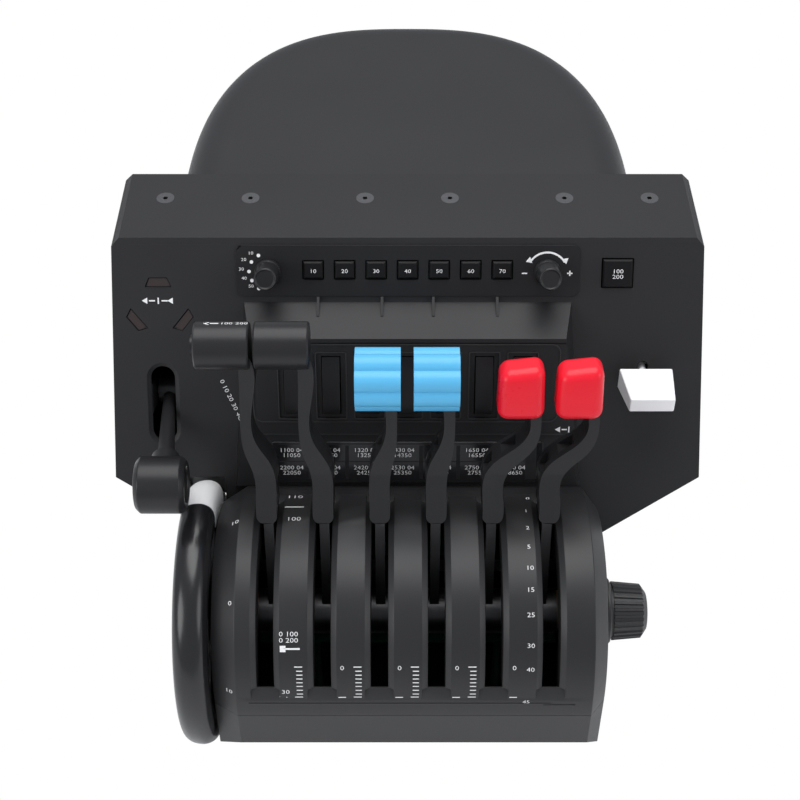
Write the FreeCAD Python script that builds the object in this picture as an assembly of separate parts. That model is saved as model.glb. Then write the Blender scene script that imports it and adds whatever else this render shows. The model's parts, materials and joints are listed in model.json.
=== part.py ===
# Throttle quadrant: six friction-damped levers, trim wheel, gear and flap levers,
# rocker switches, annunciator strip and autopilot panel in one desk-top housing.
#
# Everything is drawn about the lever pivot: X runs along the pivot shaft to the pilot's
# right, Y points away from the pilot and Z is up.  save() moves each piece to the base
# frame, whose origin is the centre of the footprint on the desk.
import FreeCAD, Part
import math
import os

V = FreeCAD.Vector
os.makedirs("parts", exist_ok=True)

# ---------------------------------------------------------------- driving dimensions (mm)
PIVOT_HEIGHT = 75.0        # lever shaft above the desk
REAR_REACH = 343.0         # shaft to the back of the rear shell
WALL = 3.0                 # moulded housing wall
SEAM_GAP = 0.2             # gap between two housing mouldings

LEVER_PITCH = 28.5
LEVER_TRAVEL = 76.0        # degrees from full forward to full back
LEVER_REST = 79.0          # degrees above the rear horizon, full forward
LEVER_CLEARANCE = 3.5      # blade to slot end, along the arc, in degrees
SLOT_WIDTH = 8.6
COVER_RADIUS = 67.0
FIN_CHAMFER_WIDTH = 3.0
FIN_CHAMFER_DEPTH = 2.0
SLOT_RAMP = 5.5            # degrees, sloping facet at each end of a slot
FLANGE_DEPTH = 12.0        # inner walls beside each slot
FLANGE_WALL = 1.8
LEFT_MARGIN = 23.0         # slot edge to the left end of the quadrant
RIGHT_MARGIN = 24.8
LEFT_CHAMFER = (12.5, 8.0)   # width along X, depth along the radius
RIGHT_CHAMFER = (7.6, 10.0)
LIP_HEIGHT = 24.0
FOOT_SETBACK = 34.0        # undercut below the lip

SHAFT_RADIUS = 4.0
SHAFT_HOLE = 0.6           # radial gap where the shaft leaves the housing
RUNNING_FIT = 0.05         # radial clearance of a hub on its shaft
HUB_RADIUS = 12.0
HUB_LENGTH = 16.0
BLADE_THICKNESS = 5.0
BLADE_DEPTH = 13.0
BLADE_TOP = 90.0           # pivot to the top of the steel blade
BLADE_BEVEL = 3.0          # cut corners at the top of the blade
HANDLE_FOOT = 68.4         # pivot to the bottom of the moulded handle
HANDLE_WIDTH = 10.4
HANDLE_NECK = 5.6
HANDLE_DEPTH = 17.0
FOOT_FRONT = 13.4          # lever centre line to the pilot's side of the handle's foot
BEND = (92.0, 120.0)       # radii between which the handle sweeps sideways
HEAD_RADIUS_AT = 166.0     # pivot to the centre of the hand grip
THROTTLE_HEAD = (26.4, 11.6)     # length, radius
PROP_GRIP = (22.2, 15.6, 13.7)   # length, radius over the lobes, radius in the flutes
PROP_LOBES = 8
PROP_PHASE = 4.0                 # degrees from the front to the first flute
MIXTURE_GRIP = (23.4, 20.0, 28.0)   # across, fore and aft, along the lever
GRIP_ROUND = 3.0                 # rounded corners of the mixture grip
GRIP_EDGE = 0.8                  # and of its edges
THROTTLE_OFFSET = (-8.2, -17.8)   # neck and grip centre beside the slot
PROP_OFFSET = (6.0, -0.5)
MIXTURE_OFFSET = (19.5, 12.2)
PROP_RADIUS_AT = 147.0
MIXTURE_RADIUS_AT = 142.0

PANEL_LEAN = 28.0
PANEL_HALF_TOP = 154.0
PANEL_HALF_LOW = 158.0
PANEL_SIDE = 131.0         # length of the straight side, along the slope
PANEL_TOP_Y = 114.6
PANEL_TOP_Z = 163.9
BOX_DEPTH = 56.5
BOX_CORNER = 4.2
PANEL_CHAMFER_DROP = 37.0  # slope length of the lower corner chamfer
COVER_PLATE = 3.0
TOP_SCREW_X = (22.7, 83.9, 129.4)
TOP_SCREW_INSET = 22.0
TOP_SCREW_HEAD = 4.8

DOME_HALF = 125.0
DOME_POWER = 2.65          # fullness of the plan outline
DOME_EDGE = 24.0           # rounding of the top edge

WHEEL_RADIUS = 70.0
WHEEL_WIDTH = 18.0
WHEEL_RIM = 15.0
WHEEL_GAP = 1.0            # wheel to housing
WELL_GAP = 2.0             # wheel to its well in the panel
WHEEL_MARK_ARC = 34.0
KNOB_RADIUS = 15.8         # friction knob, at the root of its barrel
KNOB_TAPER = 0.9           # radius at the end over radius at the root
KNOB_LENGTH = 18.0
KNOB_FLANGE = (17.8, 2.4)
KNOB_COLLAR = (13.0, 5.0)  # spaces the flange off the housing
KNOB_NECK = (14.4, 1.6)    # groove between flange and barrel
KNOB_RIBS = 26
KNOB_RIB_DEPTH = 0.9
KNOB_GAP = 0.3

CONSOLE_TOP = 34.0         # slope distances down the panel
CONSOLE_LOW = 106.9        # lower end of the switch face
CONSOLE_END = 140.0        # lower end of the skirt, behind the lever housing
CONSOLE_RAISE = 6.0        # skirt above the panel
CONSOLE_ROOT = 85.8        # half width on the panel at the ledge
CONSOLE_SPREAD = 0.073     # gain in half width for each mm down the panel
CONSOLE_FLARE = 0.3        # loss in half width for each mm out of the panel
CONSOLE_INNER = 74.0       # half width of the opening behind the switches
LEDGE_DEPTH = 23.3
LEDGE_FALL = 15.0
ROCKER_PITCH = 20.0
ROCKER_COUNT = 7
ROCKER_SIZE = (9.2, 32.0)
ROCKER_RECESS = (15.0, 38.0)
ROCKER_CENTRE = 27.0       # down the switch face
ROCKER_TILT = 6.0
ROCKER_GAP = 0.45

LENS_TOP = 108.7
LENS_LOW = 131.8
LENS_HALF = 72.5
LENS_THICKNESS = 2.5
LENS_SEAT = 1.5            # depth of the recess that holds it
LENS_GAP = 0.2

STRIP_TOP = 3.8            # autopilot strip, down the slope
STRIP_LOW = 30.8
STRIP_HALF = 89.6
STRIP_CORNER = 4.0
STRIP_PROUD = 1.2
BUTTON_PITCH = 16.4
BUTTON_COUNT = 7
BUTTON_SIZE = (10.2, 9.2)
BUTTON_ROW = 16.8
BUTTON_GAP = 0.5
BUTTON_PROUD = 1.4
BUTTON_DEPTH = 6.8         # panel surface to the back of a button
BUTTON_TRAVEL = 1.0
BOARD_CHIP = 2.2           # switches behind the buttons
MASTER_SIZE = (15.6, 14.8)
MASTER_AT = (109.4, 18.7)
SELECTOR_X = 72.6
SELECTOR_ROW = 18.0
SELECTOR_RADIUS = 7.0
SELECTOR_LENGTH = 21.0

GEAR_X = -130.2
GEAR_SLOT = (69.2, 110.5)
GEAR_SLOT_WIDTH = 12.6
GEAR_SLOT_RIM = (2.2, 1.4)   # width and depth of the bevel round the slot
GEAR_PIVOT_DEPTH = 22.0
GEAR_LENGTH = 83.0
GEAR_DIP = 20.0            # rest angle below the panel's normal
GEAR_LEAN = 7.6            # sideways reach of the arm at its end
GEAR_KNOB_X = 6.3          # knob centre beside the slot centre
GEAR_KNOB = (25.4, 14.5)
GEAR_ARM = (3.0, 5.0)      # radius at the hub and at the knob
GEAR_COLLAR = (7.4, 8.4)   # radius and length showing beside the knob
GEAR_LIGHT = (13.8, 9.6, 5.0)          # long side, short side, height
GEAR_LIGHT_AT = ((-0.3, 23.6, 0), (-12.8, 44.4, -129), (12.7, 44.4, 129))
GEAR_LIGHT_DEPTH = 1.2
GEAR_ROW = 87.6            # down the slope to the gear pivot
FLAP_X = 124.9
FLAP_ROW = 65.9            # down the slope to the flap pivot
FLAP_PIVOT_DEPTH = 14.0
FLAP_SIZE = (27.8, 25.4)   # width at the root, length
FLAP_TIP = (11.0, 12.0)    # reach of the tip to the left and right
FLAP_TOP = (10.0, 11.6)    # upper face above the arm, at root and tip
FLAP_UNDER = (-3.2, 3.1)   # lower face
FLAP_REACH = 22.0          # pivot to the root of the paddle
FLAP_ARM = 2.2             # radius
FLAP_SWING = 12.0
FLAP_SLOT_GAP = 0.6

PAD_THICKNESS = 3.0
RIG_SPACING = (120.0, 100.0)
RIG_Y = 88.0
RIG_HOLE_RADIUS = 2.5

# ---------------------------------------------------------------- values that follow
QUADRANT_HALF = LEVER_PITCH * 2.5 + SLOT_WIDTH / 2 + LEFT_MARGIN
QUADRANT_RIGHT = LEVER_PITCH * 2.5 + SLOT_WIDTH / 2 + RIGHT_MARGIN
PIVOT_Y = -(REAR_REACH - WHEEL_RADIUS) / 2
FLOOR_Z = PAD_THICKNESS - PIVOT_HEIGHT
BOX_BACK = PANEL_TOP_Y + BOX_DEPTH
SLOT_START = LEVER_REST - math.degrees(BLADE_DEPTH / 2 / COVER_RADIUS) - LEVER_CLEARANCE
SLOT_END = (LEVER_REST + LEVER_TRAVEL
            + math.degrees(BLADE_DEPTH / 2 / COVER_RADIUS) + LEVER_CLEARANCE)
LEVER_X = [LEVER_PITCH * (i - 2.5) for i in range(6)]
LEAN = math.radians(PANEL_LEAN)
DOWN = V(0, -math.sin(LEAN), -math.cos(LEAN))     # down the panel slope
OUT = V(0, -math.cos(LEAN), math.sin(LEAN))       # out of the panel, to the pilot
PANEL_TOP = V(0, PANEL_TOP_Y, PANEL_TOP_Z)


# ---------------------------------------------------------------- helpers
def on_panel(x, s, out=0.0):
    """Point on the sloping panel: x across, s down the slope, out towards the pilot."""
    return PANEL_TOP + V(x, 0, 0) + DOWN * s + OUT * out


def face(points):
    return Part.Face(Part.makePolygon(list(points) + [points[0]]))


def side_prism(points, x0, x1):
    """Extrude a (y, z) profile from x0 to x1."""
    return face([V(x0, y, z) for y, z in points]).extrude(V(x1 - x0, 0, 0))


def plan_prism(points, z0, z1):
    """Extrude an (x, y) outline from z0 to z1."""
    return face([V(x, y, z0) for x, y in points]).extrude(V(0, 0, z1 - z0))


def front_prism(points, y0, y1):
    """Extrude an (x, z) outline from y0 to y1."""
    return face([V(x, y0, z) for x, z in points]).extrude(V(0, y1 - y0, 0))


def panel_prism(points, out0, out1):
    """Extrude an outline of (x, s) points on the panel along the panel's normal."""
    return face([on_panel(x, s, out0) for x, s in points]).extrude(OUT * (out1 - out0))


def rect(x0, x1, s0, s1):
    return [(x0, s0), (x1, s0), (x1, s1), (x0, s1)]


def corner_points(x0, x1, s0, s1, r):
    """Start, middle and end of each corner arc of a rounded rectangle in (x, s)."""
    centres = [(x1 - r, s0 + r, -90), (x1 - r, s1 - r, 0), (x0 + r, s1 - r, 90),
               (x0 + r, s0 + r, 180)]
    corners = []
    for cx, cs, start in centres:
        turns = [math.radians(start + step) for step in (0, 45, 90)]
        corners.append([(cx + r * math.cos(t), cs + r * math.sin(t)) for t in turns])
    return corners


def rounded_wire(x0, x1, s0, s1, r, out):
    """Rounded rectangle on the panel as a wire."""
    corners = corner_points(x0, x1, s0, s1, r)
    edges = []
    for i, points in enumerate(corners):
        a, b, c = [on_panel(x, s, out) for x, s in points]
        after = corners[(i + 1) % 4][0]
        edges.append(Part.Arc(a, b, c).toShape())
        edges.append(Part.makeLine(c, on_panel(after[0], after[1], out)))
    return Part.Wire(edges)


def panel_rounded(x0, x1, s0, s1, r, out0, out1):
    """Rounded rectangle on the panel, extruded along the panel's normal."""
    return Part.Face(rounded_wire(x0, x1, s0, s1, r, out0)).extrude(OUT * (out1 - out0))


def turned(profile, start=None, sweep=360.0):
    """Revolve (x, r) points about the pivot axis; start is degrees above the rear horizon."""
    f = face([V(x, r, 0) for x, r in profile])
    solid = f.revolve(V(0, 0, 0), V(1, 0, 0), sweep)
    if start:
        solid.rotate(V(0, 0, 0), V(1, 0, 0), start)
    return solid


def bar(x0, x1, r, y=0.0, z=0.0):
    return Part.makeCylinder(r, x1 - x0, V(x0, y, z), V(1, 0, 0))


def polar(r, degrees):
    t = math.radians(degrees)
    return r * math.cos(t), r * math.sin(t)


def save(shape, name):
    solids = shape.Solids
    shape = solids[0] if len(solids) == 1 else Part.Compound(solids)
    shape = shape.copy()
    shape.translate(V(0, PIVOT_Y, PIVOT_HEIGHT))
    if not shape.isValid():
        print("INVALID", name)
    shape.exportStep("parts/%s.step" % name)
    print(name, len(solids), round(sum(s.Volume for s in solids), 1))


# ---------------------------------------------------------------- housing
def panel_y(z, out=0.0):
    """Y of the panel's front surface at height z, moved out by a distance along its normal."""
    return PANEL_TOP_Y - (PANEL_TOP_Z - z) * math.tan(LEAN) - out / math.cos(LEAN)


Z_SIDE = PANEL_TOP_Z - PANEL_SIDE * math.cos(LEAN)
Z_CORNER = Z_SIDE - PANEL_CHAMFER_DROP * math.cos(LEAN)


def box_body(inset, top, low):
    """Instrument box: leaning front, chamfered lower corners, cut flat at top and low."""
    side = side_prism([(panel_y(top, -inset), top), (BOX_BACK - inset, top),
                       (BOX_BACK - inset, low), (panel_y(low, -inset), low)], -200, 200)
    half = [(PANEL_HALF_TOP - BOX_CORNER - inset / 2, PANEL_TOP_Z),
            (PANEL_HALF_TOP - inset, PANEL_TOP_Z - BOX_CORNER - inset / 2),
            (PANEL_HALF_LOW - inset, Z_SIDE + inset / 2),
            (QUADRANT_HALF - inset, Z_CORNER + inset / 2),
            (QUADRANT_HALF - inset, low)]
    outline = half + [(-x, z) for x, z in reversed(half)]
    return side.common(front_prism(outline, -50, BOX_BACK + 50))


BOSS_X = QUADRANT_HALF - WALL - 4.5
BOSS_Y = (62.0, BOX_BACK - 12.0)
BOSS_RADIUS = 5.0


def panel_housing():
    plate_z = PANEL_TOP_Z - COVER_PLATE
    body = box_body(0, plate_z, 0)
    body = body.cut(box_body(WALL, PANEL_TOP_Z, -1).cut(wheel_well(WALL)))
    body = body.cut(wheel_well(0))
    for x, y in top_screw_places():
        post = Part.makeCylinder(3.6, 14, V(x, y, plate_z - 14))
        rib = Part.makeBox(2.4, TOP_SCREW_INSET - WALL / 2, 14, V(x - 1.2, y, plate_z - 14))
        body = body.fuse(post).fuse(rib).cut(Part.makeCylinder(1.4, 16, V(x, y, plate_z - 14)))
    for x in (-BOSS_X, BOSS_X):
        for y in BOSS_Y:
            body = body.fuse(Part.makeCylinder(BOSS_RADIUS, 16, V(x, y, 0)))
            body = body.cut(Part.makeCylinder(1.5, 12, V(x, y, 0)))
    out = (-WALL - 8, 8)
    cuts = [
        panel_prism(rect(-CONSOLE_INNER, CONSOLE_INNER, CONSOLE_TOP + 6, CONSOLE_LOW - 6), *out),
        panel_prism(rect(-SELECTOR_X - 6, SELECTOR_X + 6, BUTTON_ROW - 7, BUTTON_ROW + 7), *out),
        button_hole(MASTER_AT[0], MASTER_AT[1], MASTER_SIZE, out),
        gear_opening(out),
        gear_rim(),
        flap_opening(out),
        Part.makeBox(160, 60, 26, V(-80, 0, 6)),
    ]
    for tool in cuts:
        body = body.cut(tool)
    for points in gear_lights(0.0):
        body = body.cut(panel_prism(points, -GEAR_LIGHT_DEPTH, 4))
    return body


def wheel_well(grow):
    """Room for the trim wheel where its rim passes the lower left of the panel."""
    x0 = -QUADRANT_HALF - WHEEL_GAP - WHEEL_WIDTH - WELL_GAP
    return bar(x0 - grow, -QUADRANT_HALF + grow, WHEEL_RADIUS + WELL_GAP + grow)


def gear_slot(grow):
    """Outline of the gear slot, grown by a distance: x0, x1, s0, s1 and corner radius."""
    r = GEAR_SLOT_WIDTH / 2 + grow
    return (GEAR_X - r, GEAR_X + r, GEAR_SLOT[0] - grow, GEAR_SLOT[1] + grow, r - 0.01)


def gear_opening(out):
    return panel_rounded(*gear_slot(0), *out)


def gear_rim():
    """Bevel round the front edge of the gear slot."""
    width, depth = GEAR_SLOT_RIM
    return Part.makeLoft([rounded_wire(*gear_slot(0), -depth), rounded_wire(*gear_slot(width), 0.0),
                          rounded_wire(*gear_slot(width), 1.0)], True, True)


def flap_opening(out):
    """Slot that clears the flap arm over the whole of its swing."""
    high = math.radians(PANEL_LEAN - FLAP_SWING)
    low = math.radians(PANEL_LEAN + FLAP_SWING)
    half = FLAP_ARM + FLAP_SLOT_GAP
    s0 = (FLAP_PIVOT_DEPTH - WALL) * math.tan(high) - half / math.cos(high)
    s1 = FLAP_PIVOT_DEPTH * math.tan(low) + half / math.cos(low)
    return panel_rounded(FLAP_X - half, FLAP_X + half, FLAP_ROW + s0, FLAP_ROW + s1, half - 0.01, *out)


def gear_lights(shrink):
    """Three trapezoids as (x, s) outlines round the label's place, long sides inwards."""
    wide, narrow, tall = GEAR_LIGHT
    base = [(-narrow / 2, -tall / 2), (narrow / 2, -tall / 2), (wide / 2, tall / 2),
            (-wide / 2, tall / 2)]
    base = [(x * (1 - shrink / wide * 2), y * (1 - shrink / tall * 2)) for x, y in base]
    shapes = []
    for dx, s, turn in GEAR_LIGHT_AT:
        c, n = math.cos(math.radians(turn)), math.sin(math.radians(turn))
        shapes.append([(GEAR_X + dx + x * c - y * n, s + x * n + y * c) for x, y in base])
    return shapes


def panel_top_cover():
    plate = box_body(0, PANEL_TOP_Z, PANEL_TOP_Z - COVER_PLATE)
    for x, y in top_screw_places():
        z = PANEL_TOP_Z
        plate = plate.cut(Part.makeCylinder(1.8, 6, V(x, y, z - 5)))
        plate = plate.cut(Part.makeCone(2.0, TOP_SCREW_HEAD + 0.1, 2.6, V(x, y, z - 2.6)))
    return plate


def top_screw_places():
    y = BOX_BACK - TOP_SCREW_INSET
    return [(side * x, y) for x in TOP_SCREW_X for side in (-1, 1)]


def top_screws():
    solids = []
    for x, y in top_screw_places():
        z = PANEL_TOP_Z
        head = Part.makeCone(1.9, TOP_SCREW_HEAD, 2.5, V(x, y, z - 2.5))
        body = head.fuse(Part.makeCylinder(1.4, 12, V(x, y, z - 12)))
        solids.append(body.cut(hex_socket(x, y, z)))
    return Part.Compound(solids)


def hex_socket(x, y, z):
    points = [V(x + 1.4 * math.cos(i * math.pi / 3), y + 1.4 * math.sin(i * math.pi / 3), z - 1.6)
              for i in range(6)]
    return face(points).extrude(V(0, 0, 2))


def dome_body(inset, low):
    """Rear shell: superellipse plan, flat sides, rounded top edge."""
    a = REAR_REACH - BOX_BACK - inset
    b = DOME_HALF - inset
    rows = [math.pi * i / 16 for i in range(17)]
    points = []
    for t in rows:
        x = math.copysign(abs(math.cos(t)) ** (2 / DOME_POWER), math.cos(t)) * b
        y = abs(math.sin(t)) ** (2 / DOME_POWER) * a
        points.append(V(x, BOX_BACK + y, low))
    curve = Part.BSplineCurve()
    curve.interpolate(points)
    y0 = BOX_BACK + (WALL if inset else 0)
    edge = Part.Wire([curve.toShape(), Part.makeLine(points[-1], points[0])])
    top = PANEL_TOP_Z - inset
    solid = Part.Face(edge).extrude(V(0, 0, top - low))
    rim = [e for e in solid.Edges
           if abs(e.BoundBox.ZMin - top) < 0.01 and e.BoundBox.YMax > BOX_BACK + 20]
    solid = solid.makeFillet(DOME_EDGE - inset, rim)
    if inset:
        solid = solid.cut(Part.makeBox(400, y0 - BOX_BACK, 400, V(-200, BOX_BACK, low)))
    return solid


USB_Z = FLOOR_Z + 22.0


def rear_shell():
    body = dome_body(0, FLOOR_Z).cut(dome_body(WALL, FLOOR_Z + WALL))
    body = body.cut(Part.makeBox(400, 50, 400, V(-200, BOX_BACK - 50, -150)))
    body = body.cut(Part.makeBox(120, 10, 80, V(-60, BOX_BACK - 2, 20)))
    return body.cut(Part.makeBox(13, 12, 11, V(-6.5, REAR_REACH - 9, USB_Z - 5.5)))


def usb_socket():
    shell = Part.makeBox(12.6, 16, 10.6, V(-6.3, REAR_REACH - 17, USB_Z - 5.3))
    shell = shell.cut(Part.makeBox(8.6, 12, 7.8, V(-4.3, REAR_REACH - 12, USB_Z - 3.9)))
    tongue = Part.makeBox(5.6, 9, 3.0, V(-2.8, REAR_REACH - 13, USB_Z - 1.5))
    return shell.fuse(tongue)


# ---------------------------------------------------------------- quadrant
def quadrant_solid(inset):
    """Half cylinder about the pivot with a chamfer at each end."""
    r = COVER_RADIUS - inset
    lw, ld = LEFT_CHAMFER
    rw, rd = RIGHT_CHAMFER
    k = inset * 0.6
    profile = [(-QUADRANT_HALF + inset, 0), (-QUADRANT_HALF + inset, r - ld + inset - k),
               (-QUADRANT_HALF + lw + k, r), (QUADRANT_RIGHT - rw - k, r),
               (QUADRANT_RIGHT - inset, r - rd + inset - k), (QUADRANT_RIGHT - inset, 0)]
    return turned(profile, 0, 180)


def quadrant_cover():
    body = quadrant_solid(0).cut(quadrant_solid(WALL))
    r = COVER_RADIUS
    sweep = SLOT_END - SLOT_START
    half = SLOT_WIDTH / 2
    for x in LEVER_X:
        for side in (-1, 1):
            a = x + side * half
            b = a + side * FLANGE_WALL
            x0, x1 = min(a, b), max(a, b)
            flange = turned([(x0, r - WALL - FLANGE_DEPTH), (x1, r - WALL - FLANGE_DEPTH),
                             (x1, r - WALL + 0.6), (x0, r - WALL + 0.6)], SLOT_START - 3, sweep + 6)
            body = body.fuse(flange)
    wide = half + FIN_CHAMFER_WIDTH
    for x in LEVER_X:
        slot = turned([(x - half, r - WALL - 1), (x + half, r - WALL - 1), (x + half, r + 1),
                       (x - half, r + 1)], SLOT_START, sweep)
        groove = turned([(x - half, r - FIN_CHAMFER_DEPTH), (x + half, r - FIN_CHAMFER_DEPTH),
                         (x + wide, r), (x + wide, r + 1), (x - wide, r + 1), (x - wide, r)],
                        SLOT_START, sweep)
        body = body.cut(slot).cut(groove)
        for end, step in ((SLOT_START, -SLOT_RAMP), (SLOT_END, SLOT_RAMP)):
            wedge = side_prism([polar(r - FIN_CHAMFER_DEPTH, end), polar(r + 1, end),
                                polar(r + 1, end + step * 1.5), polar(r, end + step)],
                               x - wide, x + wide)
            body = body.cut(wedge)
    behind = side_prism([(panel_y(200, SEAM_GAP), 200), (400, 200), (400, -5),
                         (panel_y(-5, SEAM_GAP), -5)], -200, 200)
    body = body.cut(behind)
    return body.cut(bar(-200, 200, SHAFT_RADIUS + SHAFT_HOLE))


def base_solid(inset):
    lw, ld = LEFT_CHAMFER
    rw, rd = RIGHT_CHAMFER
    r = COVER_RADIUS - inset
    back = BOX_BACK - inset
    low = FLOOR_Z + inset
    slope = FOOT_SETBACK / (-LIP_HEIGHT - FLOOR_Z)
    side = side_prism([(-r, 1 if inset else 0), (-r, -LIP_HEIGHT + inset * 0.7),
                       (-r + (-LIP_HEIGHT - low) * slope, low), (back, low),
                       (back, 1 if inset else 0)], -200, 200)
    left, right = -QUADRANT_HALF + inset, QUADRANT_RIGHT - inset
    plan = [(left, -r + ld), (left + lw, -r), (right - rw, -r), (right, -r + rd), (right, back),
            (left, back)]
    return side.common(plan_prism(plan, -200, 50))


def base_pan():
    body = base_solid(0).cut(base_solid(WALL))
    for x in (-BOSS_X, BOSS_X):
        for y in BOSS_Y:
            body = body.fuse(Part.makeCylinder(BOSS_RADIUS, -FLOOR_Z - SEAM_GAP, V(x, y, FLOOR_Z)))
    for x, y in rig_places():
        body = body.fuse(Part.makeCylinder(7, 14, V(x, y, FLOOR_Z)))
        body = body.cut(Part.makeCylinder(RIG_HOLE_RADIUS, 12, V(x, y, FLOOR_Z)))
    for x in (-BOSS_X, BOSS_X):
        for y in BOSS_Y:
            body = body.cut(Part.makeCylinder(1.7, -FLOOR_Z, V(x, y, FLOOR_Z)))
            body = body.cut(Part.makeCylinder(3.4, 10, V(x, y, FLOOR_Z)))
    return body.cut(bar(-200, 200, SHAFT_RADIUS + SHAFT_HOLE))


def rig_places():
    dx, dy = RIG_SPACING[0] / 2, RIG_SPACING[1] / 2
    return [(sx * dx, RIG_Y + sy * dy) for sx in (-1, 1) for sy in (-1, 1)]


def base_screws():
    solids = []
    for x in (-BOSS_X, BOSS_X):
        for y in BOSS_Y:
            head = Part.makeCylinder(3.0, 2.4, V(x, y, FLOOR_Z + 7.6))
            stem = Part.makeCylinder(1.45, 9.0 - FLOOR_Z - 10, V(x, y, FLOOR_Z + 10))
            solids.append(head.fuse(stem))
    return Part.Compound(solids)


def housing_screws():
    return Part.Compound(top_screws().Solids + base_screws().Solids)


PAD_PLACES = [(-78, -14), (78, -14), (-78, 150), (78, 150), (0, 0), (-60, 262), (60, 262)]


def rubber_feet():
    solids = []
    for x, y in PAD_PLACES:
        if (x, y) == (0, 0):
            y = -PIVOT_Y
        pad = Part.makeCylinder(13, PAD_THICKNESS, V(x, y, FLOOR_Z - PAD_THICKNESS))
        solids.append(pad)
    return Part.Compound(solids)


# ---------------------------------------------------------------- shaft and friction stack
WHEEL_X1 = -QUADRANT_HALF - WHEEL_GAP
WHEEL_X0 = WHEEL_X1 - WHEEL_WIDTH
FRAME_INNER = LEVER_PITCH * 2.5 + HUB_LENGTH / 2 + 5.0
FRAME_PLATE = 3.0
WASHER = 1.4
STACK_GAP = 0.1
KNOB_X0 = QUADRANT_RIGHT + KNOB_GAP
KNOB_X1 = KNOB_X0 + KNOB_COLLAR[1] + KNOB_FLANGE[1] + KNOB_NECK[1]     # root of the barrel
SHAFT_RIGHT = KNOB_X1 + 6.0


def pivot_shaft():
    rod = bar(WHEEL_X0 - 0.5, SHAFT_RIGHT, SHAFT_RADIUS)
    head = bar(WHEEL_X0 - 3.0, WHEEL_X0 - 0.5, SHAFT_RADIUS + 3.0)
    return rod.fuse(head)


def lever_frame():
    """Steel U that carries the shaft inside the base."""
    z0 = FLOOR_Z + WALL
    plates = []
    for x in (-FRAME_INNER - FRAME_PLATE, FRAME_INNER):
        plate = side_prism([(-20, z0), (26, z0), (16, 8), (9, 14), (-9, 14), (-16, 8)],
                           x, x + FRAME_PLATE)
        plates.append(plate)
    floor = Part.makeBox(2 * FRAME_INNER, 46, FRAME_PLATE, V(-FRAME_INNER, -20, z0))
    body = floor.fuse(plates)
    return body.cut(bar(-200, 200, SHAFT_RADIUS))


def ring(x0, x1, outer, bore):
    return bar(x0, x1, outer).cut(bar(x0 - 1, x1 + 1, bore))


def stack_faces():
    """Start and end of each gap between neighbouring hubs and the frame."""
    faces = [-FRAME_INNER]
    for x in LEVER_X:
        faces += [x - HUB_LENGTH / 2 - STACK_GAP, x + HUB_LENGTH / 2 + STACK_GAP]
    return faces + [FRAME_INNER]


def friction_washers():
    solids = []
    for x in LEVER_X:
        a = x - HUB_LENGTH / 2 - STACK_GAP
        b = x + HUB_LENGTH / 2 + STACK_GAP
        solids.append(ring(a - WASHER, a, HUB_RADIUS - 1, SHAFT_RADIUS))
        solids.append(ring(b, b + WASHER, HUB_RADIUS - 1, SHAFT_RADIUS))
    return Part.Compound(solids)


def hub_spacers():
    faces = stack_faces()
    solids = []
    for i in range(0, len(faces), 2):
        a = faces[i] + (WASHER if i else 0)
        b = faces[i + 1] - (WASHER if i + 2 < len(faces) else 0)
        solids.append(ring(a, b, 7.0, SHAFT_RADIUS))
    return Part.Compound(solids)


def disc_springs():
    """Conical washers between the frame and the right end wall of the cover."""
    room = QUADRANT_RIGHT - WALL - FRAME_INNER - FRAME_PLATE
    count = 3
    step = room / count
    solids = []
    for i in range(count):
        x = FRAME_INNER + FRAME_PLATE + i * step
        x0, x1 = (x, x + step) if i % 2 == 0 else (x + step, x)
        t = 0.9 if x1 > x0 else -0.9
        profile = [(x0, SHAFT_RADIUS + 0.3), (x0 + t, SHAFT_RADIUS + 0.3), (x1, 10.5),
                   (x1 - t, 10.5)]
        solids.append(turned(profile))
    return Part.Compound(solids)


SENSOR_Z = -HUB_RADIUS - 5.0


def lever_sensors():
    """Board under the hubs with one sensor chip for each lever, on two posts."""
    board = Part.makeBox(2 * FRAME_INNER - 8, 14, 1.6, V(-FRAME_INNER + 4, -7, SENSOR_Z - 1.6))
    for x in LEVER_X:
        board = board.fuse(Part.makeBox(5, 4, 1.4, V(x - 2.5, -2, SENSOR_Z)))
    floor = FLOOR_Z + WALL + FRAME_PLATE
    for x in (-50, 0, 50):
        board = board.fuse(Part.makeCylinder(2.5, SENSOR_Z - 1.6 - floor, V(x, 0, floor)))
    return board


def circuit_board():
    """Main board on the floor of the base, with its connectors."""
    z = FLOOR_Z + WALL + 8
    board = Part.makeBox(92, 66, 1.6, V(-46, 88, z))
    for x in (-30, 0, 30):
        board = board.fuse(Part.makeBox(16, 8, 6, V(x - 8, 92, z + 1.6)))
    board = board.fuse(Part.makeBox(14, 14, 1.6, V(-7, 116, z + 1.6)))
    for x in (-42, 42):
        for y in (92, 149):
            board = board.fuse(Part.makeCylinder(2.5, 8, V(x, y, z - 8)))
    return board


def panel_board():
    """Board behind the autopilot strip."""
    top = -BUTTON_DEPTH - BUTTON_TRAVEL - 0.4
    face_out = top - BOARD_CHIP
    board = panel_prism(rect(-SELECTOR_X - 5.4, MASTER_AT[0] + 8.6, 8, 27), face_out - 1.6, face_out)
    for x, s in [(x, BUTTON_ROW) for x in button_places()] + [MASTER_AT]:
        board = board.fuse(panel_prism(rect(x - 3, x + 3, s - 3, s + 3), face_out, top))
    for x in (-30, 90):
        board = board.fuse(panel_prism(rect(x - 2, x + 2, 24.5, 26.5), face_out, -WALL))
    return board


def circuit_boards():
    return Part.Compound(circuit_board().Solids + panel_board().Solids)


# ---------------------------------------------------------------- levers
def stand(shape, x, tilt=0.0):
    """Turn a piece drawn upright (along Z above the shaft) to the lever's rest angle."""
    shape = shape.copy()
    shape.rotate(V(0, 0, 0), V(1, 0, 0), LEVER_REST - 90 + tilt)
    shape.translate(V(x, 0, 0))
    return shape


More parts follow.
